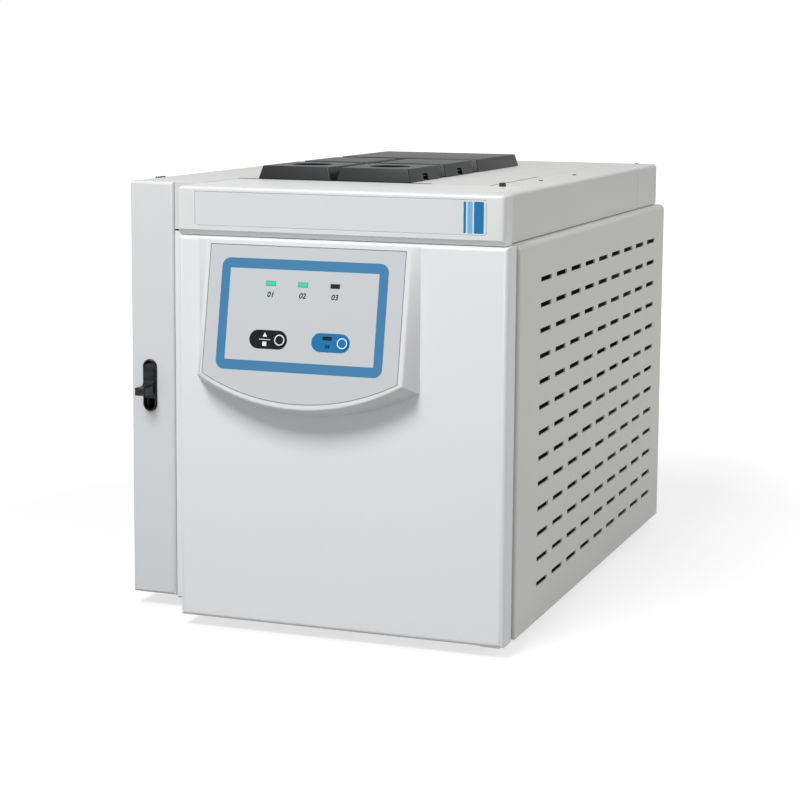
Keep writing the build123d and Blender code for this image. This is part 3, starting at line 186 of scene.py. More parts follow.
def woven(name, base, strand, shadow):
    """A braid or a mat of fibres: ridges and tufts a strand apart, with painted shade between them."""
    material, shader, place = surface(name, base, 0.85)
    ridges = add_node(
        material,
        "ShaderNodeTexWave",
        [("Vector", place), ("Scale", 1 / (6.28 * strand)), ("Distortion", 2.0)],
    )
    tufts = add_node(material, "ShaderNodeTexVoronoi", [("Vector", place), ("Scale", 1 / strand)])
    blend = add_node(material, "ShaderNodeMix", [("Factor", tufts.outputs["Distance"])], data_type="RGBA")
    blend.inputs["A"].default_value = base
    blend.inputs["B"].default_value = shadow
    wire(material, blend.outputs["Result"], shader, "Base Color")
    height = add_node(
        material,
        "ShaderNodeMath",
        [(0, ridges.outputs["Fac"]), (1, tufts.outputs["Distance"])],
        operation="SUBTRACT",
    )
    bump = add_node(
        material,
        "ShaderNodeBump",
        [("Height", height.outputs["Value"]), ("Strength", 0.6), ("Distance", strand / 3)],
    )
    wire(material, bump.outputs["Normal"], shader, "Normal")
    return material


def circuit_board(name, mask, copper):
    """Green solder mask over copper tracks, which show as lighter lines. Real tracks are about 0.2 mm
    wide, and these are 0.75 mm, because finer ones don't show."""
    material, shader, place = surface(name, mask, 0.35)
    colours = [("Color1", mask), ("Color2", mask), ("Mortar", copper)]
    tracks = add_node(
        material,
        "ShaderNodeTexBrick",
        [("Vector", place), *colours, ("Scale", 40.0), ("Mortar Size", 0.03)],
    )
    wire(material, tracks.outputs["Color"], shader, "Base Color")
    return material


def lit_lens(name, base, glow):
    """A moulded translucent lens with its lamp on."""
    material, shader, place = surface(name, base, 0.25, Emission_Color=base, Emission_Strength=glow)
    ribs = add_node(material, "ShaderNodeTexWave", [("Vector", place), ("Scale", 1 / (6.28 * MM))])
    bump = add_node(
        material,
        "ShaderNodeBump",
        [("Height", ribs.outputs["Fac"]), ("Strength", 0.1), ("Distance", 0.1 * MM)],
    )
    wire(material, bump.outputs["Normal"], shader, "Normal")
    return material


def recipes():
    """How each finish is made. Grained ones give roughness, grain, depth, drift of tone,
    metal and specular; brushed ones roughness, direction and pitch of the lines."""
    c = bpy.context.scene.gc_colours
    # Real dimples in paint, mould grain and the mesh of an ink are about 0.1 to 0.4 mm wide, and
    # tool marks about 0.05 mm apart. All are drawn several times as coarse, because anything
    # finer doesn't show.
    return {
        # baked polyester powder coat: even, slightly dimpled, satin
        "door_powder_coat": (grained, c.door, 0.42, 1.4 * MM, 0.05 * MM, 0.012),
        # the column's coat is drawn darker than the door's: painted shade for the shadow the door, standing in
        # front, throws on the column
        "column_powder_coat": (grained, c.column, 0.44, 1.4 * MM, 0.05 * MM, 0.012),
        "case_powder_coat": (grained, c.case, 0.46, 1.4 * MM, 0.05 * MM, 0.015),
        "side_powder_coat": (grained, c.side, 0.5, 1.4 * MM, 0.05 * MM, 0.02),
        # injection-moulded ABS with a fine spark-eroded texture, a little glossier than the paint
        "bezel_abs": (grained, c.bezel, 0.38, 1.0 * MM, 0.03 * MM, 0.01),
        # charcoal ABS lids: a leathery mould grain with a soft sheen at a low angle
        "charcoal_abs": (grained, c.cap, 0.3, 1.0 * MM, 0.06 * MM, 0.08, 0.0, 0.3),
        # moulded glass-filled nylon: nearly black, semi-gloss
        "black_nylon": (grained, c.latch, 0.3, 1.2 * MM, 0.05 * MM, 0.1, 0.0, 0.3),
        # back-printed polyester film over the key panel: smooth, satin, cool grey
        "overlay_film": (grained, c.overlay, 0.34, 1.5 * MM, 0.01 * MM, 0.01),
        # painted shade: a darker band along the cut edges of the film and round its holes, for the shadow in the
        # gaps at them
        "film_rim": (grained, linear("83878A"), 0.5, 1.5 * MM, 0.01 * MM, 0.05),
        # polyester label film: smooth and paler than the overlay
        "label_film": (grained, c.label, 0.3, 1.5 * MM, 0.01 * MM, 0.008),
        # screen-printed inks: flat, with a faint mesh
        "blue_ink": (grained, c.ink_blue, 0.3, 0.8 * MM, 0.01 * MM, 0.03, 0.0, 0.3),
        "bright_blue_ink": (grained, c.ink_bright, 0.3, 0.8 * MM, 0.01 * MM, 0.03, 0.0, 0.3),
        "pale_blue_ink": (grained, c.ink_pale, 0.36, 0.8 * MM, 0.01 * MM, 0.03),
        "black_ink": (grained, c.ink_black, 0.28, 0.8 * MM, 0.01 * MM, 0.08, 0.0, 0.3),
        "white_ink": (grained, c.ink_white, 0.4, 0.8 * MM, 0.01 * MM, 0.02),
        # moulded acrylic lens with its lamp on: an even green with a weak glow
        "green_lens": (lit_lens, c.lamp, 0.2),
        # the same lens with its lamp off: nearly black and glossy
        "dark_lens": (grained, linear("0A0C0E"), 0.2, 1.5 * MM, 0.01 * MM, 0.1),
        # rolled 304 stainless sheet: fine lines along the sheet that blur its reflections
        "stainless_sheet": (brushed, linear("B9BBBC"), 0.34, ALONG_Z, 0.6 * MM),
        "stainless_inner": (brushed, linear("AEB0B0"), 0.38, ALONG_Y, 0.6 * MM),
        # turned steel, milled aluminium and turned brass: tool marks that stretch the highlights
        "turned_steel": (brushed, linear("A8AAAC"), 0.3, ALONG_X, 0.4 * MM),
        "milled_aluminium": (brushed, linear("C6C9CC"), 0.36, ALONG_Z, 0.5 * MM),
        "machined_brass": (brushed, linear("C9A45A"), 0.28, ALONG_Y, 0.4 * MM),
        # nickel-chrome heater rod, blued and dulled by heat
        "heat_stained_alloy": (grained, linear("5E564E"), 0.5, 3 * MM, 0.05 * MM, 0.25, 1.0),
        # glass wool: pale yellow tufts, far coarser than its 0.01 mm fibres
        "glass_wool": (woven, linear("D8D0B4"), 3 * MM, linear("A39B80")),
        # glass wool under a black glass tissue: matt and dark
        "black_tissue": (woven, linear("121212"), 2.5 * MM, linear("070707")),
        # aluminium anodised black: a soft sheen over a milled face
        "black_anodised": (grained, linear("17181A"), 0.34, 1.0 * MM, 0.02 * MM, 0.1),
        # braided glass-fibre rope of the door's seal: grey, open and rough
        "glass_braid": (woven, linear("8E8D88"), 1.4 * MM, linear("4A4946")),
        # moulded nitrile rubber: matt black
        "nitrile_rubber": (grained, linear("1B1B1C"), 0.7, 0.9 * MM, 0.08 * MM, 0.15),
        # polyimide-coated fused silica tubing: amber brown and shiny
        "polyimide_silica": (grained, linear("8A4F1D"), 0.22, 6 * MM, 0.01 * MM, 0.15),
        # printed circuit board: green lacquer, glossy, with paler lines where copper runs under it
        "solder_mask": (circuit_board, linear("12512E"), linear("5E9A5F")),
        # stove enamel on the motor's can: black and satin
        "motor_enamel": (grained, linear("2A2C2E"), 0.45, 1.0 * MM, 0.05 * MM, 0.1),
        # zinc-plated, blackened and bronzed steel heads: dull metal, or dark and satin
        "plated_screw": (brushed, linear("8C8B86"), 0.32, ALONG_X, 0.4 * MM),
        "black_screw": (grained, linear("26261F"), 0.4, 0.8 * MM, 0.02 * MM, 0.15),
        "bronze_stud": (brushed, linear("8A6A45"), 0.4, ALONG_X, 0.4 * MM),
    }


finishes = {}


def finish(name):
    """The material of that finish, made once."""
    if name not in finishes:
        maker, *details = recipes()[name]
        finishes[name] = maker(name, *details)
    return finishes[name]


# ---- making pieces ----
def sharpen(bm, angle=35):
    """Smooth shading, with the edges that turn more than the angle kept sharp."""
    for face in bm.faces:
        face.smooth = True
    for edge in bm.edges:
        edge.smooth = edge.calc_face_angle(math.pi) < math.radians(angle)


def new_piece(name, bm, material, body, stands_for=()):
    """Turns a bmesh into an object that rides on a body."""
    mesh = bpy.data.meshes.new(name)
    bm.to_mesh(mesh)
    bm.free()
    mesh.materials.append(finish(material))
    piece = bpy.data.objects.new(name, mesh)
    bpy.context.scene.collection.objects.link(piece)
    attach(piece, body)
    if stands_for:
        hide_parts(*stands_for)
    return piece


def body_of(node):
    """The moving body that carries a CAD node."""
    return next(b for b, members in frame["record"]["behaviour"]["bodies"].items() if node in members)


def refined(node, material, edge):
    """Stands for a CAD node: the same shape, merged, with its sharp edges broken."""
    bm = bmesh.new()
    bm.from_mesh(frame["nodes"][node].data)
    bmesh.ops.remove_doubles(bm, verts=bm.verts, dist=0.002 * MM)
    bmesh.ops.dissolve_limit(bm, angle_limit=math.radians(0.3), verts=bm.verts, edges=bm.edges)
    sharpen(bm, 32)
    piece = new_piece(node + "_finished", bm, material, body_of(node), [node])
    if edge > 0:
        bevel = piece.modifiers.new("broken_edges", "BEVEL")
        bevel.width = edge
        bevel.segments = 2
        bevel.limit_method = "ANGLE"
        bevel.angle_limit = math.radians(32)
        bevel.harden_normals = True
    return piece


def rim_with_painted_shade(piece, out, material, width):
    """Gives the flat front of a piece a narrow rim of another finish: painted shade along its cut edges."""
    bm = bmesh.new()
    bm.from_mesh(piece.data)
    level = max(v.co.dot(out) for v in bm.verts)
    flat = [f for f in bm.faces if f.normal.dot(out) > 0.999]
    front = [f for f in flat if abs(f.verts[0].co.dot(out) - level) < 0.01 * MM]
    rim = bmesh.ops.inset_region(bm, faces=front, thickness=width, use_even_offset=True)["faces"]
    for face in rim:
        face.material_index = 1
    bm.to_mesh(piece.data)
    bm.free()
    piece.data.materials.append(finish(material))


def rounded_loop(bm, centre, width, height, radius, segments=8):
    """A closed loop of edges round a rectangle with rounded corners, flat in XY."""
    made = bmesh.ops.create_grid(bm, x_segments=1, y_segments=1, size=0.5)["verts"]
    bmesh.ops.scale(bm, vec=(width, height, 1), verts=made)
    bmesh.ops.translate(bm, vec=(centre[0], centre[1], 0), verts=made)
    if radius > 0:
        bmesh.ops.bevel(
            bm,
            geom=made,
            offset=min(radius, 0.4999 * min(width, height)),
            segments=segments,
            profile=0.5,
            affect="VERTICES",
            material=-1,
        )
    bmesh.ops.delete(bm, geom=list(bm.faces), context="FACES_ONLY")


def circle_loop(bm, centre, radius, segments=40):
    """A closed loop of edges round a circle, flat in XY."""
    made = bmesh.ops.create_circle(bm, segments=segments, radius=radius)["verts"]
    bmesh.ops.translate(bm, vec=(centre[0], centre[1], 0), verts=made)


def fill_and_raise(bm, thickness):
    """Fills between the loops and gives the film its thickness."""
    bmesh.ops.triangle_fill(bm, use_beauty=True, use_dissolve=True, edges=list(bm.edges))
    raised = bmesh.ops.extrude_face_region(bm, geom=list(bm.faces))["geom"]
    top = [v for v in raised if isinstance(v, bmesh.types.BMVert)]
    bmesh.ops.translate(bm, vec=(0, 0, thickness), verts=top)
    bmesh.ops.recalc_face_normals(bm, faces=list(bm.faces))


def printed(name, loops, thickness, place, material, body):
    """A flat printed or moulded shape between loops, set on a plane."""
    bm = bmesh.new()
    for make, *details in loops:
        make(bm, *details)
    fill_and_raise(bm, thickness)
    bmesh.ops.transform(bm, matrix=place, verts=bm.verts)
    sharpen(bm)
    return new_piece(name, bm, material, body)


# ---- settings ----
class Colours(bpy.types.PropertyGroup):
    door: colour("Door", "Powder coat of the door", "E4E6E8")
    case: colour("Case", "Powder coat of the top, back and base", "D4D4D1")
    side: colour("Sides", "Powder coat of the slotted side panels", "DCDCD8")
    # darker than the door: painted shade for the shadow the door throws on the recessed column
    column: colour("Left column", "Powder coat of the cover that carries the latch", "D6D8DA")
    bezel: colour("Bezel", "Moulded bezel and key panel housing", "DDDFDF")
    cap: colour("Caps", "Charcoal caps over the injectors and detectors", "1C1F22")
    latch: colour("Latch", "Latch and its escutcheon", "16181A")
    overlay: colour("Overlay", "Film over the key panel", "C5C9CC")
    label: colour("Label", "Film of the blank label", "D9DCDE")
    ink_blue: colour("Frame blue", "Printed frame of the key panel", "427FA9")
    ink_bright: colour("Bright blue", "Service pill and label bars", "1872AC")
    ink_pale: colour("Pale blue", "Lighter label bar", "6FB2DA")
    ink_black: colour("Black ink", "Start pill and numerals", "0C0F12")
    ink_white: colour("White ink", "Rings and marks on the keys", "E4EAEC")
    lamp: colour("Lamp green", "Indicators that are on", "27CB92")


class Finish(bpy.types.PropertyGroup):
    edge: length("Broken edge", "Width of the softened edges of sheet metal", 0.35)
    moulded_edge: length("Moulded edge", "Width of the softened edges of plastics", 0.5)
    fine_edge: length("Fine edge", "Width of the softened edges of small metal pieces", 0.15)


class KeyPanel(bpy.types.PropertyGroup):
    film: length("Ink thickness", "How far the printed shapes stand up", 0.12)
    frame_width: length("Frame width", "Outside width of the printed frame", 180)
    frame_height: length("Frame height", "Outside height of the printed frame", 113.2)
    frame_side: length("Frame side", "Width of the printed band at the sides", 9.5)
    frame_border: length("Frame border", "Width of the printed band above and below", 10.2)
    frame_radius: length("Frame corner", "Outside corner radius of the printed frame", 9)
    frame_rise: length("Frame rise", "Middle of the frame above the line of the keys", 24.6)
    frame_shift: length("Frame shift", "Middle of the frame left of the panel's middle", 1.3)
    pill_width: length("Pill width", "Width of the printed pill round a key", 41.2)
    pill_height: length("Pill height", "Height of the printed pill round a key", 19.0)
    pill_reach: length("Pill reach", "Key centre to the nearer end of its pill", 7.9)
    # the rim is painted shade: a darker band along the film's cut edges
    rim: length("Rim width", "Width of the darker cut edge of the film", 0.5)
    ring: length("Ring width", "Width of the printed ring on a key", 1.1)
    numeral: length("Numeral height", "Height of the numerals under the indicators", 7.6)
    numeral_drop: length("Numeral drop", "Numerals below the indicators", 11.3)


class Hardware(bpy.types.PropertyGroup):
    screw_radius: length("Screw radius", "Radius of the panel screws' heads", 3.2)
    screw_rise: length("Screw height", "Height of the panel screws' heads", 1.8)
    # Real tubing is about 0.2 mm in radius, and is drawn as coarse as it needs to show.
    column_tube: length("Column tube", "Drawn radius of one turn of the capillary column", 0.55)
    column_layers: IntProperty(name="Column layers", description="Layers of turns", default=3, min=1, max=6)


class Stage(bpy.types.PropertyGroup):
    background: colour("Background", "Backdrop", "FFFFFF")
    floor: colour("Floor", "Floor round the instrument", "9C9C9C")
    camera_lens: FloatProperty(name="Lens", description="Focal length, 36 mm sensor", default=92.93, min=1)
    camera_x: length("Camera X", "Right of the object's middle", 799.8)
    camera_y: length("Camera distance", "In front of the object's middle", 2240.7)
    camera_z: length("Camera height", "Above the bench", 593.4)
    key_power: FloatProperty(name="Key lamp", description="Power in watts", default=84.0, min=0)
    fill_power: FloatProperty(name="Fill lamp", description="Power in watts", default=15.0, min=0)


# ---- the case ----
CASE_FINISHES = {
    "base_pan": "case_powder_coat",
    "left_side_panel": "side_powder_coat",
    "right_side_panel": "side_powder_coat",
    "rear_panel": "case_powder_coat",
    "exhaust_hood": "case_powder_coat",
    "top_cover": "case_powder_coat",
    "top_access_cover": "case_powder_coat",
    "left_column_cover": "column_powder_coat",
    "oven_front_frame": "door_powder_coat",
    "feet": "nitrile_rubber",
}


class GC_OT_case(bpy.types.Operator):
    """Finish the panels, covers, base and feet"""

    bl_idname = "gas_chromatograph.case"
    bl_label = "Case"

    def execute(self, context):
        for node, material in CASE_FINISHES.items():
            refined(node, material, context.scene.gc_finish.edge)
        return {"FINISHED"}


# Width and ink of each bar, from the label's right end.
LABEL_BARS = ((10 * MM, "bright_blue_ink"), (5 * MM, "pale_blue_ink"), (2.5 * MM, "bright_blue_ink"))
BAR_GAP = 1.6 * MM


class GC_OT_bezel(bpy.types.Operator):
    """Finish the bezel and its blank label, with plain blue bars at its right end"""

    bl_idname = "gas_chromatograph.bezel"
    bl_label = "Bezel and label"

    def execute(self, context):
        finish_settings = context.scene.gc_finish
        panel = context.scene.gc_panel
        refined("front_bezel", "bezel_abs", finish_settings.moulded_edge)
        refined("label_plate", "label_film", finish_settings.fine_edge)
        low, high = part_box("label_plate")
        upright = Matrix.Rotation(math.radians(90), 4, "X")
        place = Matrix.Translation((0, low.y, (low.z + high.z) / 2)) @ upright
        tall = high.z - low.z - 3 * MM
        edge = high.x - 2.5 * MM
        for index, (wide, ink) in enumerate(LABEL_BARS):
            loops = [(rounded_loop, (edge - wide / 2, 0), wide, tall, 1.2 * MM)]
            printed(f"label_bar_{index + 1}", loops, panel.film, place, ink, "chassis")
            edge -= wide + BAR_GAP
        return {"FINISHED"}


# ---- the door ----
class GC_OT_door(bpy.types.Operator):
    """Finish the oven door, its inner panel, seal, striker and hinges"""

    bl_idname = "gas_chromatograph.door"
    bl_label = "Oven door"

    def execute(self, context):
        settings = context.scene.gc_finish
        refined("oven_door_shell", "door_powder_coat", settings.edge)
        refined("door_inner_panel", "stainless_sheet", settings.edge)
        refined("door_insulation", "glass_wool", 0)
        refined("door_gasket", "glass_braid", settings.fine_edge)
        refined("door_striker", "turned_steel", settings.fine_edge)
        refined("door_hinges", "turned_steel", settings.fine_edge)
        return {"FINISHED"}


def centre_x(node):
    """The middle of a node from side to side."""
    low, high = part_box(node)
    return (low.x + high.x) / 2


KEY_INKS = {"start_button": "black_ink", "service_button": "bright_blue_ink"}
MARKS_LEFT_OF_KEY = 16.5 * MM
LENS_WIDTH, LENS_HEIGHT = 9.6 * MM, 4.0 * MM


def key_plane():
    """A matrix that lays XY drawings on the tilted film, centred on the line of the keys."""
    press = next(j["axis"] for j in frame["joints"] if j["name"] == "start_button_press")
    out = -Vector(press).normalized()
    up = out.cross(Vector((1, 0, 0)))
    level = max(v.co.dot(out) for v in frame["nodes"]["control_overlay"].data.vertices)
    low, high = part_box("start_button")
    axis_point = (low + high) / 2
    origin = axis_point + out * (level - axis_point.dot(out))
    origin.x = centre_x("control_overlay")
    turn = Matrix((Vector((1, 0, 0)), up, out)).transposed().to_4x4()
    return Matrix.Translation(origin) @ turn


def crown(node, plane):
    """How far a node stands above the film."""
    inverse = plane.inverted()
    return max((inverse @ v.co).z for v in frame["nodes"][node].data.vertices)


def across(node, plane):
    """The middle of a node along the key panel, from the panel's own middle."""
    return centre_x(node) - plane.translation.x


class GC_OT_key_panel(bpy.types.Operator):
    """Finish the key panel: housing, film, printed frame, pills, keys, indicators and numerals"""

    bl_idname = "gas_chromatograph.key_panel"
    bl_label = "Key panel"

    def execute(self, context):
        settings = context.scene.gc_finish
        panel = context.scene.gc_panel
        plane = key_plane()
        refined("control_housing", "bezel_abs", settings.moulded_edge)
        film = refined("control_overlay", "overlay_film", 0)
        # a darker rim round the film's cut edges and holes: painted shade for the shadow in the gaps
        rim_with_painted_shade(film, plane.to_3x3().col[2], "film_rim", panel.rim)
        self.frame(panel, plane)
        self.pills(panel, plane)
        self.keys(panel, plane)
        self.indicators(panel, plane)
        return {"FINISHED"}

    def frame(self, panel, plane):
        centre = (-panel.frame_shift, panel.frame_rise)
        inner = (panel.frame_width - 2 * panel.frame_side, panel.frame_height - 2 * panel.frame_border)
        loops = [
            (rounded_loop, centre, panel.frame_width, panel.frame_height, panel.frame_radius),
            (rounded_loop, centre, *inner, 0.8 * MM, 2),
        ]
        printed("printed_frame", loops, panel.film, plane, "blue_ink", "oven_door")

    def pills(self, panel, plane):
        for key, ink in KEY_INKS.items():
            x = across(key, plane)
            hole = (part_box(key)[1].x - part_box(key)[0].x) / 2 + 0.3 * MM
            centre = (x + panel.pill_reach - panel.pill_width / 2, 0)
            loops = [
                (rounded_loop, centre, panel.pill_width, panel.pill_height, panel.pill_height / 2),
                (circle_loop, (x, 0), hole),
            ]
            printed(key + "_pill", loops, panel.film, plane, ink, "oven_door")
        on_film = plane @ Matrix.Translation((0, 0, panel.film))
        x = across("start_button", plane) - MARKS_LEFT_OF_KEY
        marks = (
            ("start_mark_line", (rounded_loop, (x, 0), 12 * MM, 0.7 * MM, 0)),
            ("start_mark_square", (rounded_loop, (x, -4.4 * MM), 4.4 * MM, 4.4 * MM, 0.3 * MM)),
            ("start_mark_triangle", (circle_loop, (x, 4.2 * MM), 2.9 * MM, 3)),
        )
        for name, loop in marks:
            printed(name, [loop], 0.05 * MM, on_film, "white_ink", "oven_door")
        x = across("service_button", plane) - MARKS_LEFT_OF_KEY
        window = [(rounded_loop, (x, 4.4 * MM), 10 * MM, 3.6 * MM, 0.8 * MM)]
        printed("service_lamp", window, 0.25 * MM, on_film, "dark_lens", "oven_door")
        self.numeral("04", (x, -4.0 * MM), 0.7 * panel.numeral, on_film)

    def keys(self, panel, plane):
        for key, ink in KEY_INKS.items():
            refined(key, ink, 0)
            low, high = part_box(key)
            radius = (high.x - low.x) / 2 - 0.8 * MM
            top = plane @ Matrix.Translation((0, 0, crown(key, plane) - 0.02 * MM))
            centre = (across(key, plane), 0)
            loops = [(circle_loop, centre, radius), (circle_loop, centre, radius - panel.ring)]
            printed(key + "_ring", loops, 0.1 * MM, top, "white_ink", key)

    def indicators(self, panel, plane):
        low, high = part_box("indicator_lenses")
        pitch = (high.x - low.x - LENS_WIDTH) / 2
        middle = plane.inverted() @ ((low + high) / 2)
        for index, material in enumerate(("green_lens", "green_lens", "dark_lens")):
            x = middle.x + (index - 1) * pitch
            loops = [(rounded_loop, (x, middle.y), LENS_WIDTH, LENS_HEIGHT, 1.2 * MM)]
            name = f"indicator_{index + 1}"
            lens = printed(name, loops, 0.3 * MM, plane, material, "oven_door")
            if index == 0:
                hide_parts("indicator_lenses")
            below = (x, middle.y - panel.numeral_drop)
            self.numeral(f"0{index + 1}", below, panel.numeral, plane)

    def numeral(self, text, at, size, plane):
        """A small printed numeral, made from the built-in letter shapes."""
        curve = bpy.data.curves.new("numeral_" + text, "FONT")
        curve.body = text
        curve.size = size
        curve.align_x = "CENTER"
        curve.align_y = "CENTER"
        curve.extrude = 0.03 * MM
        curve.offset = 0.17 * MM
        curve.shear = 0.2
        source = bpy.data.objects.new("numeral_source", curve)
        mesh = bpy.data.meshes.new_from_object(source)
        bm = bmesh.new()
        bm.from_mesh(mesh)
        bpy.data.objects.remove(source)
        bpy.data.meshes.remove(mesh)
        bmesh.ops.remove_doubles(bm, verts=bm.verts, dist=0.001 * MM)
        bmesh.ops.transform(bm, matrix=plane @ Matrix.Translation((*at, 0.05 * MM)), verts=bm.verts)
        new_piece("numeral_" + text, bm, "black_ink", "oven_door")


# ---- the latch ----
class GC_OT_latch(bpy.types.Operator):
    """Finish the latch on the left column"""

    bl_idname = "gas_chromatograph.latch"
    bl_label = "Latch"

    def execute(self, context):
        settings = context.scene.gc_finish
        refined("latch_escutcheon", "black_nylon", settings.fine_edge)
        refined("latch_lever", "black_nylon", settings.moulded_edge)
        refined("latch_shaft", "turned_steel", settings.fine_edge)
        refined("latch_roller", "turned_steel", settings.fine_edge)
        refined("latch_bracket", "stainless_sheet", settings.fine_edge)
        return {"FINISHED"}


# ---- the top ----
PORTS = ("injector_left", "injector_right", "detector_left", "detector_right")


class GC_OT_caps(bpy.types.Operator):
    """Finish the charcoal caps, their pins, the injectors and the detectors"""

    bl_idname = "gas_chromatograph.caps"
    bl_label = "Caps, injectors and detectors"

    def execute(self, context):
        settings = context.scene.gc_finish
        for name in PORTS:
            refined("cap_" + name, "charcoal_abs", settings.moulded_edge)
            refined(name, "black_anodised", settings.fine_edge)
        for name in ("rear_cap_left", "rear_cap_right"):
            refined(name, "charcoal_abs", settings.moulded_edge)
        refined("cap_hinge_pins", "turned_steel", settings.fine_edge)
        return {"FINISHED"}


# ---- the oven ----
OVEN_FINISHES = {
    "oven_liner": "stainless_inner",
    "oven_insulation": "black_tissue",
    "fan_baffle": "stainless_sheet",
    "heater_coil": "heat_stained_alloy",
    "oven_fan": "stainless_inner",
    "fan_shaft": "turned_steel",
    "fan_motor": "motor_enamel",
    "temperature_probe": "turned_steel",
    "column_hanger": "turned_steel",
    "column_cage": "turned_steel",
}


class GC_OT_oven(bpy.types.Operator):
    """Finish the oven, its fan, heater and the column's cage"""

    bl_idname = "gas_chromatograph.oven"
    bl_label = "Oven"

    def execute(self, context):
        for node, material in OVEN_FINISHES.items():
            edge = 0 if node in ("oven_insulation", "heater_coil") else context.scene.gc_finish.fine_edge
            refined(node, material, edge)
        return {"FINISHED"}


class GC_OT_column(bpy.types.Operator):
    """Wind the capillary column as layers of thin turns"""

    bl_idname = "gas_chromatograph.column"
    bl_label = "Capillary column"

    def execute(self, context):
        hardware = context.scene.gc_hardware
        low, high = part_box("capillary_column")
        centre = (low + high) / 2
        tube = hardware.column_tube
        outer = (high.x - low.x) / 2 - tube
        turns = int((high.y - low.y) / (2 * tube))
        bm = bmesh.new()
        for layer in range(hardware.column_layers):
            for turn in range(turns):
                made = bmesh.ops.create_circle(bm, segments=6, radius=0.96 * tube)["verts"]
                at = (centre.x + outer - layer * 1.8 * tube, low.y + tube * (2 * turn + 1), centre.z)
                bmesh.ops.translate(bm, vec=at, verts=made)
        bmesh.ops.spin(
            bm,
            geom=list(bm.verts) + list(bm.edges),
            cent=centre,
            axis=(0, 1, 0),
            steps=72,
            angle=2 * math.pi,
            use_merge=True,
        )
        bmesh.ops.remove_doubles(bm, verts=bm.verts, dist=0.001 * MM)
        bmesh.ops.recalc_face_normals(bm, faces=list(bm.faces))
        sharpen(bm, 80)
        new_piece("wound_column", bm, "polyimide_silica", "chassis", ["capillary_column"])
        return {"FINISHED"}


# ---- the services ----
SERVICE_FINISHES = {
    "gas_manifold": "milled_aluminium",
    "gas_fittings": "machined_brass",
    "main_board": "solder_mask",
    "power_supply": "stainless_sheet",
    "oven_air_ducts": "stainless_sheet",
    "air_flaps": "stainless_sheet",
    "cooling_fan_frame": "black_nylon",
    "cooling_fan_rotor": "black_nylon",
    "power_inlet": "black_nylon",
    "power_rocker": "black_nylon",
}


class GC_OT_services(bpy.types.Operator):
    """Finish the gas, air and electrical parts"""

    bl_idname = "gas_chromatograph.services"
    bl_label = "Services"

    def execute(self, context):
        for node, material in SERVICE_FINISHES.items():
            refined(node, material, context.scene.gc_finish.fine_edge)
        return {"FINISHED"}


REAR_SCREW_INSET = 9 * MM
BEZEL_SCREW_XY = (169 * MM, -196.5 * MM)
# Across, and behind the door's face.
COVER_SCREWS = ((178 * MM, 250 * MM), (181 * MM, 376 * MM), (186 * MM, 655 * MM))
STUD_INSET = 5 * MM
STUDS_Y = (-208 * MM, -220 * MM)
# The slot across the deck, and the black strip in it, which is painted shade: the strip's middle, length, width
# and corner.
DECK_SHADE_STRIP = ((-22.5 * MM, -188.5 * MM), 222 * MM, 5.5 * MM, 1 * MM)
DECK_SHADE_STRIP_THICKNESS = 1.2 * MM
DECK_SHADE_STRIP_SINK = 1.0 * MM


def screw(name, at, facing, material, hardware, scale=1.0, taller=1.0):
    """A low screw head with a broken rim, a hexagonal socket and the socket's floor."""
    turn = Vector((0, 0, 1)).rotation_difference(Vector(facing)).to_matrix().to_4x4()
    radius, rise = hardware.screw_radius * scale, hardware.screw_rise * scale * taller
    bm = bmesh.new()
    circle_loop(bm, (0, 0), radius, 24)
    circle_loop(bm, (0, 0), radius * 0.5, 6)
    fill_and_raise(bm, rise)
    outer = {v for v in bm.verts if v.co.z > 0.99 * rise and v.co.length > 0.9 * radius}
    rim = [e for e in bm.edges if outer.issuperset(e.verts)]
    bmesh.ops.bevel(bm, geom=rim, offset=rise * 0.3, segments=2, profile=0.5, affect="EDGES", material=-1)
    socket = 0.52 * radius
    floor = bmesh.ops.create_cone(
        bm, cap_ends=True, segments=6, radius1=socket, radius2=socket, depth=0.3 * rise
    )["verts"]
    bmesh.ops.translate(bm, vec=(0, 0, 0.15 * rise), verts=floor)
    bmesh.ops.transform(bm, matrix=Matrix.Translation(at) @ turn, verts=bm.verts)
    sharpen(bm)
    return new_piece(name, bm, material, "chassis")


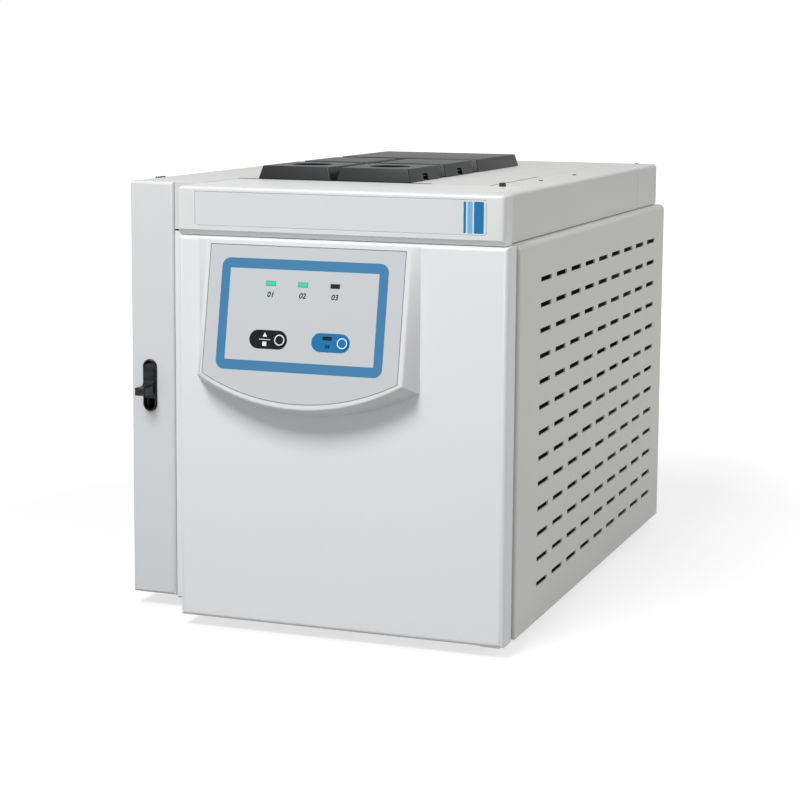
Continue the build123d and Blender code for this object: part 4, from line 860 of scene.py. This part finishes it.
class GC_OT_screws(bpy.types.Operator):
    """Add the screws of the rear panel and the covers, the studs, and a black strip of painted shade in the slot
    across the deck
    """

    bl_idname = "gas_chromatograph.screws"
    bl_label = "Screws"

    def execute(self, context):
        hardware = context.scene.gc_hardware
        low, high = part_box("rear_panel")
        middle = (low + high) / 2
        count = 0
        for x in (low.x + REAR_SCREW_INSET, middle.x, high.x - REAR_SCREW_INSET):
            for z in (low.z + REAR_SCREW_INSET, middle.z, high.z - REAR_SCREW_INSET):
                if (x, z) != (middle.x, middle.z):
                    count += 1
                    screw(f"rear_screw_{count}", (x, high.y, z), (0, 1, 0), "plated_screw", hardware)
        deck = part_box("front_bezel")[1].z
        screw("bezel_screw", (*BEZEL_SCREW_XY, deck), (0, 0, 1), "black_screw", hardware, 1.1, 2.0)
        stud_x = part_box("top_cover")[0].x + STUD_INSET
        for index, y in enumerate(STUDS_Y):
            at = (stud_x, y, deck - 0.2 * MM)
            screw(f"top_stud_{index + 1}", at, (0, 0, 1), "bronze_stud", hardware, 0.9)
        self.deck_shade_strip(deck)
        door_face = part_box("oven_door_shell")[0].y
        cover_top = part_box("top_access_cover")[1].z
        for index, (x, back) in enumerate(COVER_SCREWS):
            at = (x, back + door_face, cover_top)
            screw(f"cover_screw_{index + 1}", at, (0, 0, 1), "plated_screw", hardware, 0.7)
        return {"FINISHED"}

    def deck_shade_strip(self, deck):
        """A black strip in the slot across the deck, in front of the caps: painted shade for the shadow in the
        slot.
        """
        bm = bmesh.new()
        rounded_loop(bm, *DECK_SHADE_STRIP, 3)
        fill_and_raise(bm, DECK_SHADE_STRIP_THICKNESS)
        bmesh.ops.translate(bm, vec=(0, 0, deck - DECK_SHADE_STRIP_SINK), verts=bm.verts)
        sharpen(bm)
        new_piece("deck_shade_strip", bm, "nitrile_rubber", "chassis")


# ---- the stage ----
FLOOR_HALF = 12
# The floor's own light rises from under the instrument to white beyond it.
LIFT_FROM, LIFT_TO = 0.6, 1.4
LIFT_NEAR, LIFT_FAR = 0.7, 1.0
# Strength of the white surroundings: on the object, and what gloss mirrors of them.
SKY_ON_OBJECT = 0.45
SKY_IN_GLOSS = 0.2
KEY_LAMP_AT, KEY_LAMP_SIZE = (-0.4, -2.4, 2.7), 1.0
FILL_LAMP_AT, FILL_LAMP_SIZE = (2.3, 0.2, 2.0), 1.6
# The camera's right and up, and the part of the frame's width that it is shifted down by.
CAMERA_RIGHT = Vector((0.939569, 0.34228, 0.007436))
CAMERA_UP = Vector((-0.052673, 0.123059, 0.991001))
CAMERA_SHIFT = -0.08


class GC_OT_stage(bpy.types.Operator):
    """Set the floor, the world, the lamps and the camera"""

    bl_idname = "gas_chromatograph.stage"
    bl_label = "Stage"

    def execute(self, context):
        settings = context.scene.gc_stage
        scene = context.scene
        scene.view_settings.view_transform = "Standard"
        self.floor(settings)
        self.world(scene, settings)
        low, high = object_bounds()
        middle = (low + high) / 2
        self.lamp("key_lamp", KEY_LAMP_AT, middle, KEY_LAMP_SIZE, settings.key_power)
        self.lamp("fill_lamp", FILL_LAMP_AT, middle, FILL_LAMP_SIZE, settings.fill_power)
        self.camera(scene, settings)
        return {"FINISHED"}

    def floor(self, settings):
        bm = bmesh.new()
        bmesh.ops.create_grid(bm, x_segments=1, y_segments=1, size=FLOOR_HALF)
        mesh = bpy.data.meshes.new("floor")
        bm.to_mesh(mesh)
        bm.free()
        plane = bpy.data.objects.new("floor", mesh)
        bpy.context.scene.collection.objects.link(plane)
        material = bpy.data.materials.new("pale_floor")
        material.use_nodes = True
        shader = material.node_tree.nodes["Principled BSDF"]
        shader.inputs["Base Color"].default_value = settings.floor
        shader.inputs["Roughness"].default_value = 0.9
        shader.inputs["Specular IOR Level"].default_value = 0.0
        rays = add_node(material, "ShaderNodeLightPath")
        seen = add_node(
            material,
            "ShaderNodeMath",
            [(0, rays.outputs["Is Camera Ray"]), (1, rays.outputs["Is Glossy Ray"])],
            operation="MAXIMUM",
        )
        seen = add_node(
            material,
            "ShaderNodeMath",
            [(0, seen.outputs["Value"]), (1, rays.outputs["Is Transmission Ray"])],
            operation="MAXIMUM",
        )
        place = add_node(material, "ShaderNodeTexCoord").outputs["Object"]
        away = add_node(material, "ShaderNodeVectorMath", [(0, place)], operation="LENGTH").outputs["Value"]
        lift = add_node(
            material,
            "ShaderNodeMapRange",
            [
                ("Value", away),
                ("From Min", LIFT_FROM),
                ("From Max", LIFT_TO),
                ("To Min", LIFT_NEAR),
                ("To Max", LIFT_FAR),
            ],
        )
        glow = add_node(
            material,
            "ShaderNodeMath",
            [(0, seen.outputs["Value"]), (1, lift.outputs["Result"])],
            operation="MULTIPLY",
        )
        emission = add_node(
            material,
            "ShaderNodeEmission",
            [("Color", settings.background), ("Strength", glow.outputs["Value"])],
        )
        both = add_node(
            material,
            "ShaderNodeAddShader",
            [(0, shader.outputs["BSDF"]), (1, emission.outputs["Emission"])],
        )
        output = material.node_tree.nodes["Material Output"]
        material.node_tree.links.new(both.outputs["Shader"], output.inputs["Surface"])
        mesh.materials.append(material)
        plane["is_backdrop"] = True

    def world(self, scene, settings):
        world = bpy.data.worlds.new("studio")
        world.use_nodes = True
        scene.world = world
        background = world.node_tree.nodes["Background"]
        background.inputs["Color"].default_value = settings.background
        rays = add_node(world, "ShaderNodeLightPath")
        mirrored = add_node(
            world,
            "ShaderNodeMath",
            [(0, rays.outputs["Is Glossy Ray"]), (1, SKY_IN_GLOSS)],
            operation="MULTIPLY",
        )
        seen = add_node(
            world,
            "ShaderNodeMath",
            [(0, rays.outputs["Is Camera Ray"]), (1, mirrored.outputs["Value"])],
            operation="MAXIMUM",
        )
        strength = add_node(
            world,
            "ShaderNodeMapRange",
            [("Value", seen.outputs["Value"]), ("To Min", SKY_ON_OBJECT), ("To Max", 1.0)],
        )
        world.node_tree.links.new(strength.outputs["Result"], background.inputs["Strength"])

    def lamp(self, name, at, target, size, power):
        data = bpy.data.lights.new(name, "AREA")
        data.shape = "SQUARE"
        data.size = size
        data.energy = power
        lamp = bpy.data.objects.new(name, data)
        bpy.context.scene.collection.objects.link(lamp)
        lamp.location = at
        lamp.rotation_euler = (target - Vector(at)).to_track_quat("-Z", "Y").to_euler()

    def camera(self, scene, settings):
        data = bpy.data.cameras.new("camera")
        data.sensor_width = 36
        data.lens = settings.camera_lens
        data.shift_y = CAMERA_SHIFT
        camera = bpy.data.objects.new("camera", data)
        scene.collection.objects.link(camera)
        axes = Matrix((CAMERA_RIGHT, CAMERA_UP, CAMERA_RIGHT.cross(CAMERA_UP)))
        turn = axes.transposed().to_4x4()
        at = (settings.camera_x, -settings.camera_y, settings.camera_z)
        camera.matrix_world = Matrix.Translation(at) @ turn
        scene.camera = camera


class GC_PT_panel(bpy.types.Panel):
    """Settings and steps of the gas chromatograph"""

    bl_label = "Gas chromatograph"
    bl_space_type = "VIEW_3D"
    bl_region_type = "UI"
    bl_category = "Instrument"

    def draw(self, context):
        for group in ("gc_colours", "gc_finish", "gc_panel", "gc_hardware", "gc_stage"):
            settings = getattr(context.scene, group)
            box = self.layout.box()
            for name in settings.__annotations__:
                box.prop(settings, name)
        for step in STEPS:
            self.layout.operator(step.bl_idname)


GROUPS = {
    "gc_colours": Colours,
    "gc_finish": Finish,
    "gc_panel": KeyPanel,
    "gc_hardware": Hardware,
    "gc_stage": Stage,
}
STEPS = (
    GC_OT_stage,
    GC_OT_case,
    GC_OT_bezel,
    GC_OT_door,
    GC_OT_key_panel,
    GC_OT_latch,
    GC_OT_caps,
    GC_OT_oven,
    GC_OT_column,
    GC_OT_services,
    GC_OT_screws,
)


def register():
    for name, group in GROUPS.items():
        bpy.utils.register_class(group)
        setattr(bpy.types.Scene, name, PointerProperty(type=group))
    for step in STEPS:
        bpy.utils.register_class(step)
    bpy.utils.register_class(GC_PT_panel)


def unregister():
    bpy.utils.unregister_class(GC_PT_panel)
    for step in reversed(STEPS):
        bpy.utils.unregister_class(step)
    for name, group in reversed(GROUPS.items()):
        delattr(bpy.types.Scene, name)
        bpy.utils.unregister_class(group)


def main():
    register()
    for step in STEPS:
        area, name = step.bl_idname.split(".")
        getattr(getattr(bpy.ops, area), name)()


if __name__ == "__main__":
    main()
